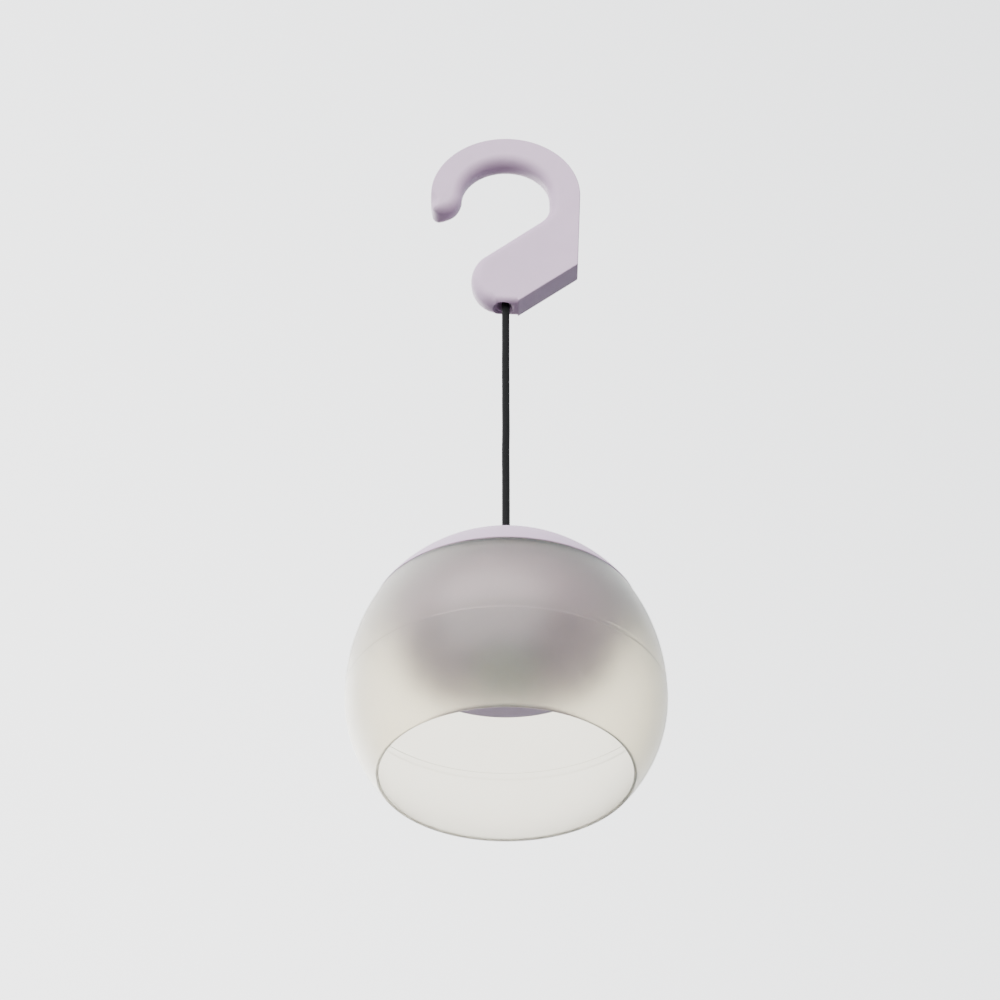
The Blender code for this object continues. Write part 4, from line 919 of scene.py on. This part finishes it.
def make_cap(finish):
    """The opaque cap: its bosses, the cord's flared hole, the button's hole, the port's notch."""
    centre = (0.0, CAP_CENTRE_Z)
    funnel_angle = 90 - math.degrees(math.asin(CAP_FUNNEL / CAP_RADIUS))
    edge_angle = math.degrees(math.asin((CAP_EDGE_Z - CAP_CENTRE_Z) / CAP_RADIUS))
    inner = CAP_RADIUS - CAP_WALL
    step_angle = math.degrees(math.asin((CAP_STEP - CAP_CENTRE_Z) / inner))
    boss_angle = 90 - math.degrees(math.asin(CAP_BOSS_RADIUS / inner))
    edge = CAP_EDGE_ROUNDING
    outside = arc(centre, CAP_RADIUS, funnel_angle, edge_angle, 60)
    corners = [(*outside[0], edge), *outside[2:-1], (*outside[-1], edge)]
    corners += [(LAND_RADIUS, CAP_EDGE_Z, edge / 2), (LAND_RADIUS, GROOVE_Z)]
    corners += [(SKIRT_RADIUS, GROOVE_Z), (SKIRT_RADIUS, CAP_STEP)]
    corners += arc(centre, inner, step_angle, boss_angle, 24)
    corners += [(CAP_BOSS_RADIUS, CAP_BOSS), (CAP_BORE, CAP_BOSS)]
    corners += [(CAP_BORE, CAP_POLE - CAP_BORE_DEPTH)]
    cap = to_object("cap_shell", turned_mesh(rounded(corners)), finish)

    posts = bmesh.new()
    add_rods(posts, screw_places(), HOUSING_RIM + 0.5 * MM, CAP_POLE, SCREW_POST, 32)
    add_rods(posts, BOARD_POSTS, SOCKET_HEIGHT - BOARD_UNDER_SOCKET, CAP_POLE, BOARD_POST)
    add_block(posts, *PORT_BLOCK)
    posts = to_object("posts", posts)
    ball = bmesh.new()
    bmesh.ops.create_uvsphere(ball, u_segments=72, v_segments=36, radius=CAP_RADIUS - CAP_WALL / 2)
    carve(posts, ball, "INTERSECT", Matrix.Translation((0.0, 0.0, CAP_CENTRE_Z)))
    carve(cap, taken(posts), "UNION")

    in_cap = LIFT.inverted() @ BUTTON_FRAME
    stakes = bmesh.new()
    add_rods(stakes, [(-SWITCH_POST_X, 0.0), (SWITCH_POST_X, 0.0)], *STAKE_ENDS, STAKE_RADIUS)
    carve(cap, stakes, "UNION", in_cap)

    holes = bmesh.new()
    add_rods(holes, screw_places(), HOUSING_RIM, SCREW_HOLE_TOP, M3_HOLE)
    add_rods(holes, BOARD_POSTS, *BOARD_HOLE, M2_HOLE)
    add_block(holes, *PORT_WINDOW)
    carve(cap, holes, "DIFFERENCE")
    notch = bmesh.new()
    add_block(notch, (-NOTCH_HALF, PORT_WALL_Y, NOTCH_FLOOR), (NOTCH_HALF, CAP_RADIUS, NOTCH_TOP))
    carve(cap, notch, "DIFFERENCE")
    hole_radius, lip = BUTTON_RADIUS + BUTTON_PLAY, 1.0 * MM
    hole = [(0.0, 4.0 * MM), (hole_radius + 1.25 * MM, 4.0 * MM)]
    hole += arc((hole_radius + lip, -lip - 0.05 * MM), lip, 90, 180, 8)
    hole += [(hole_radius, -4.0 * MM), (0.0, -4.0 * MM)]
    carve(cap, turned_mesh(hole, MEDIUM_STEPS), "DIFFERENCE", in_cap)
    cap.data.transform(LIFT)
    weigh_normals(cap)
    put(cap, "lantern", "lavender_plastic", "top_cap")


def make_housing(finish):
    """The bowl that holds the battery and the light, with its screw wells."""
    floor_top = HOUSING_FLOOR + HOUSING_WALL
    corner = (HOUSING_RADIUS - HOUSING_CORNER, HOUSING_FLOOR + HOUSING_CORNER)
    lens_hole = LENS_RADIUS + GAP
    corners = [(lens_hole, floor_top), (lens_hole, HOUSING_FLOOR, 0.5 * MM)]
    corners += arc(corner, HOUSING_CORNER, -90, -12, 12)
    corners += [SHOULDER, (HOUSING_RIM_RADIUS, RIM_UNDERSIDE, 0.3 * MM)]
    corners += [(HOUSING_RIM_RADIUS, HOUSING_RIM, 0.3 * MM), (RIM_INNER_RADIUS, HOUSING_RIM)]
    corners += [(HOUSING_RADIUS - HOUSING_WALL, floor_top + FLOOR_CORNER[1])]
    corners += [(FLOOR_CORNER[0], floor_top)]
    housing = to_object("housing_bowl", turned_mesh(rounded(corners)), finish)
    buried = HOUSING_FLOOR + 0.8 * MM
    sleeves = bmesh.new()
    add_rods(sleeves, screw_places(), buried, HOUSING_RIM + 0.2 * MM, SLEEVE_RADIUS, 36)
    add_rods(sleeves, HOLDER_EARS, buried, EAR_POST[1], EAR_POST[0])
    add_rods(sleeves, LED_SCREWS, buried, LED_BOARD - GAP, LED_POST)
    carve(housing, sleeves, "UNION")
    well_low, well_out = HOUSING_FLOOR + WELL_ROUNDING, WELL_RADIUS + WELL_ROUNDING
    flare = [(0.0, WELL_TOP), (WELL_RADIUS, WELL_TOP), (WELL_RADIUS, well_low)]
    flare += arc((well_out, well_low), WELL_ROUNDING, 180, 270, 5)
    flare += [(well_out, HOUSING_FLOOR - 1.0 * MM), (0.0, HOUSING_FLOOR - 1.0 * MM)]
    wells = bmesh.new()
    for x, y in screw_places():
        well = turned_mesh(flare, 40)
        well.transform(Matrix.Translation((x, y, 0.0)))
        kept = bpy.data.meshes.new("well")
        well.to_mesh(kept)
        well.free()
        wells.from_mesh(kept)
        bpy.data.meshes.remove(kept)
    carve(housing, wells, "DIFFERENCE")
    bores = bmesh.new()
    add_rods(bores, screw_places(), WELL_TOP - 1.0 * MM, HOUSING_RIM + 1.0 * MM, M3_HOLE)
    add_rods(bores, HOLDER_EARS + LED_SCREWS, HOUSING_FLOOR + 1.1 * MM, 20.0 * MM, M2_HOLE)
    carve(housing, bores, "DIFFERENCE")
    housing.data.transform(LIFT)
    weigh_normals(housing)
    put(housing, "lantern", "grey_plastic", "inner_housing")


def make_lens(finish):
    """The domed diffuser."""
    low = HOUSING_FLOOR + HOUSING_WALL + GAP
    high = LED_BOARD - GAP
    edge = 0.15 * MM
    centre = (LENS_RADIUS - LENS_FILLET, LENS_CROWN + LENS_FILLET)
    middle, middle_rise = LENS_MIDDLE
    corners = [(0.0, 0.0), LENS_MIDDLE]
    corners += arc(centre, LENS_FILLET, -84, 0, 20)
    corners += [(LENS_RADIUS, low), (LENS_FLANGE, low, edge), (LENS_FLANGE, high, edge)]
    corners += [(LENS_RADIUS - LENS_WALL, high)]
    corners += arc(centre, LENS_FILLET - LENS_WALL, 0, -84, 16)
    corners += [(middle, LENS_WALL + middle_rise), (0.0, LENS_WALL)]
    piece = to_object("lens_dome", turned_mesh(rounded(corners), 96), finish, LIFT)
    put(piece, "lantern", "lens_plastic", "lens")


def make_button(finish):
    """The rubber button: a domed top with a raised ring to feel for, and a flange to hold it."""
    corners = [(0.0, 0.75 * MM), (1.6 * MM, 0.72 * MM), (1.9 * MM, 0.95 * MM, 0.12 * MM)]
    corners += [(2.5 * MM, 0.9 * MM, 0.12 * MM), (2.8 * MM, 0.62 * MM), (3.8 * MM, 0.5 * MM)]
    edge = 0.2 * MM
    corners += [(BUTTON_RADIUS, 0.25 * MM, 0.5 * MM), (BUTTON_RADIUS, BUTTON_SEAT)]
    corners += [(BUTTON_FLANGE, BUTTON_SEAT, edge), (BUTTON_FLANGE, BUTTON_UNDER, edge)]
    corners += [(PLUNGER_RADIUS, BUTTON_UNDER), (PLUNGER_RADIUS, BUTTON_FOOT, edge)]
    corners.append((0.0, BUTTON_FOOT))
    cover = turned_mesh(rounded(corners), MEDIUM_STEPS)
    piece = to_object("button_cover", cover, finish, BUTTON_FRAME)
    put(piece, "power_button", "grey_silicone", "power_button")


def make_flap(finish):
    """The rubber wedge over the socket, flush with the cap, with a dent for a fingernail."""
    half = NOTCH_HALF - GAP
    low, wall = NOTCH_FLOOR + GAP, PORT_WALL_Y + GAP
    edge = FLAP_ROUNDING
    rings = []
    for i in range(FLAP_COLUMNS + 1):
        x = -half + 2 * half * i / FLAP_COLUMNS
        reach = CAP_RADIUS**2 - x**2
        top = CAP_CENTRE_Z + math.sqrt(reach - wall**2)
        front = math.sqrt(reach - (low - CAP_CENTRE_Z) ** 2)
        from_end = min(half - abs(x), edge)
        shrink = edge - math.sqrt(max(0.0, edge**2 - (edge - from_end) ** 2))
        outline = [(wall + shrink, low + shrink, edge), (wall + shrink, top - shrink, edge)]
        for k in range(1, FLAP_ROWS):
            y = wall + (front - wall) * k / FLAP_ROWS
            z = CAP_CENTRE_Z + math.sqrt(reach - y**2)
            far = (x / NAIL_DIP_HALF[0]) ** 2 + ((y - NAIL_DIP_Y) / NAIL_DIP_HALF[1]) ** 2
            outline.append((y, z - shrink - NAIL_DIP * math.exp(-far)))
        outline.append((front - shrink, low + shrink, edge / 2))
        rings.append([(x, y, z) for y, z in rounded(outline, 4)])
    bm = bmesh.new()
    loft(bm, rings)
    piece = to_object("usb_cover", bm, finish, LIFT)
    weigh_normals(piece)
    put(piece, "usb_flap", "grey_silicone", "usb_flap")


# ---- Screws and small parts --------------------------------------------------------------------
def make_screw(name, node, finish, points_up, size):
    """A pan-head screw with a cross recess and a rolled thread, in the place of a CAD screw."""
    head, shank, pitch = size
    low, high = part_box(node)
    x, y = (low.x + high.x) / 2, (low.y + high.y) / 2
    start = low.z if points_up else high.z
    head_radius = (high.x - low.x) / 2
    length = high.z - low.z
    corners = [(0.0, 0.0), (head_radius * 0.55, 0.03 * MM)]
    corners.append((head_radius, head * 0.45, head * 0.3))
    corners += [(head_radius, head, 0.1 * MM), (shank, head)]
    core = shank * 0.8
    rise = head + pitch / 2
    while rise + pitch < length - 0.6 * MM:
        corners += [(shank, rise), (core, rise + pitch * 0.35), (core, rise + pitch * 0.6)]
        rise += pitch
    corners += [(shank, rise), (shank * 0.35, length), (0.0, length)]
    bm = turned_mesh(rounded(corners, 3), 36)
    turn = Matrix.Identity(4) if points_up else Matrix.Rotation(math.pi, 4, "X")
    screw = to_object(name, bm, finish)
    slots = bmesh.new()
    arm, half = head_radius * 0.55, head_radius * 0.13
    add_block(slots, (-arm, -half, -head * 0.2), (arm, half, head * 0.6))
    cross = to_object("cross", slots)
    other = bmesh.new()
    add_block(other, (-half, -arm, -head * 0.2), (half, arm, head * 0.6))
    carve(cross, other, "UNION")
    carve(screw, taken(cross), "DIFFERENCE")
    screw.data.transform(Matrix.Translation((x, y, start)) @ turn)
    put(screw, "lantern", "plated_steel", node)


def make_screws(finish):
    """Every screw, from its CAD node's place."""
    for stem, kind, count, points_up, size in (
        ("housing", "m3", 4, True, M3_SCREW),
        ("board", "m2", 2, True, M2_SCREW),
        ("holder", "m2", 2, False, M2_SCREW),
        ("led", "m2", 2, False, LED_SCREW),
    ):
        for i in range(1, count + 1):
            name, node = f"{stem}_screw_{kind}_{i}", f"{stem}_screw_{i}"
            make_screw(name, node, finish, points_up, size)


def finish_nodes(finishes):
    """Gives every CAD node that stays in view its material."""
    for part in frame["record"]["subparts"]:
        node = frame["nodes"][part["node"]]
        node.data.materials.clear()
        node.data.materials.append(finishes[part["material_slot"]])


# ---- The whole scene ---------------------------------------------------------------------------
make_camera()
finishes = make_finishes()
finish_nodes(finishes)
make_cord(finishes["black_cord"])
make_hook(finishes["lavender_plastic"])
make_cap(finishes["lavender_plastic"])
make_shade(finishes["frosted_plastic"])
make_housing(finishes["grey_plastic"])
make_lens(finishes["lens_plastic"])
make_button(finishes["grey_silicone"])
make_flap(finishes["grey_silicone"])
make_screws(finishes["plated_steel"])
make_stage()
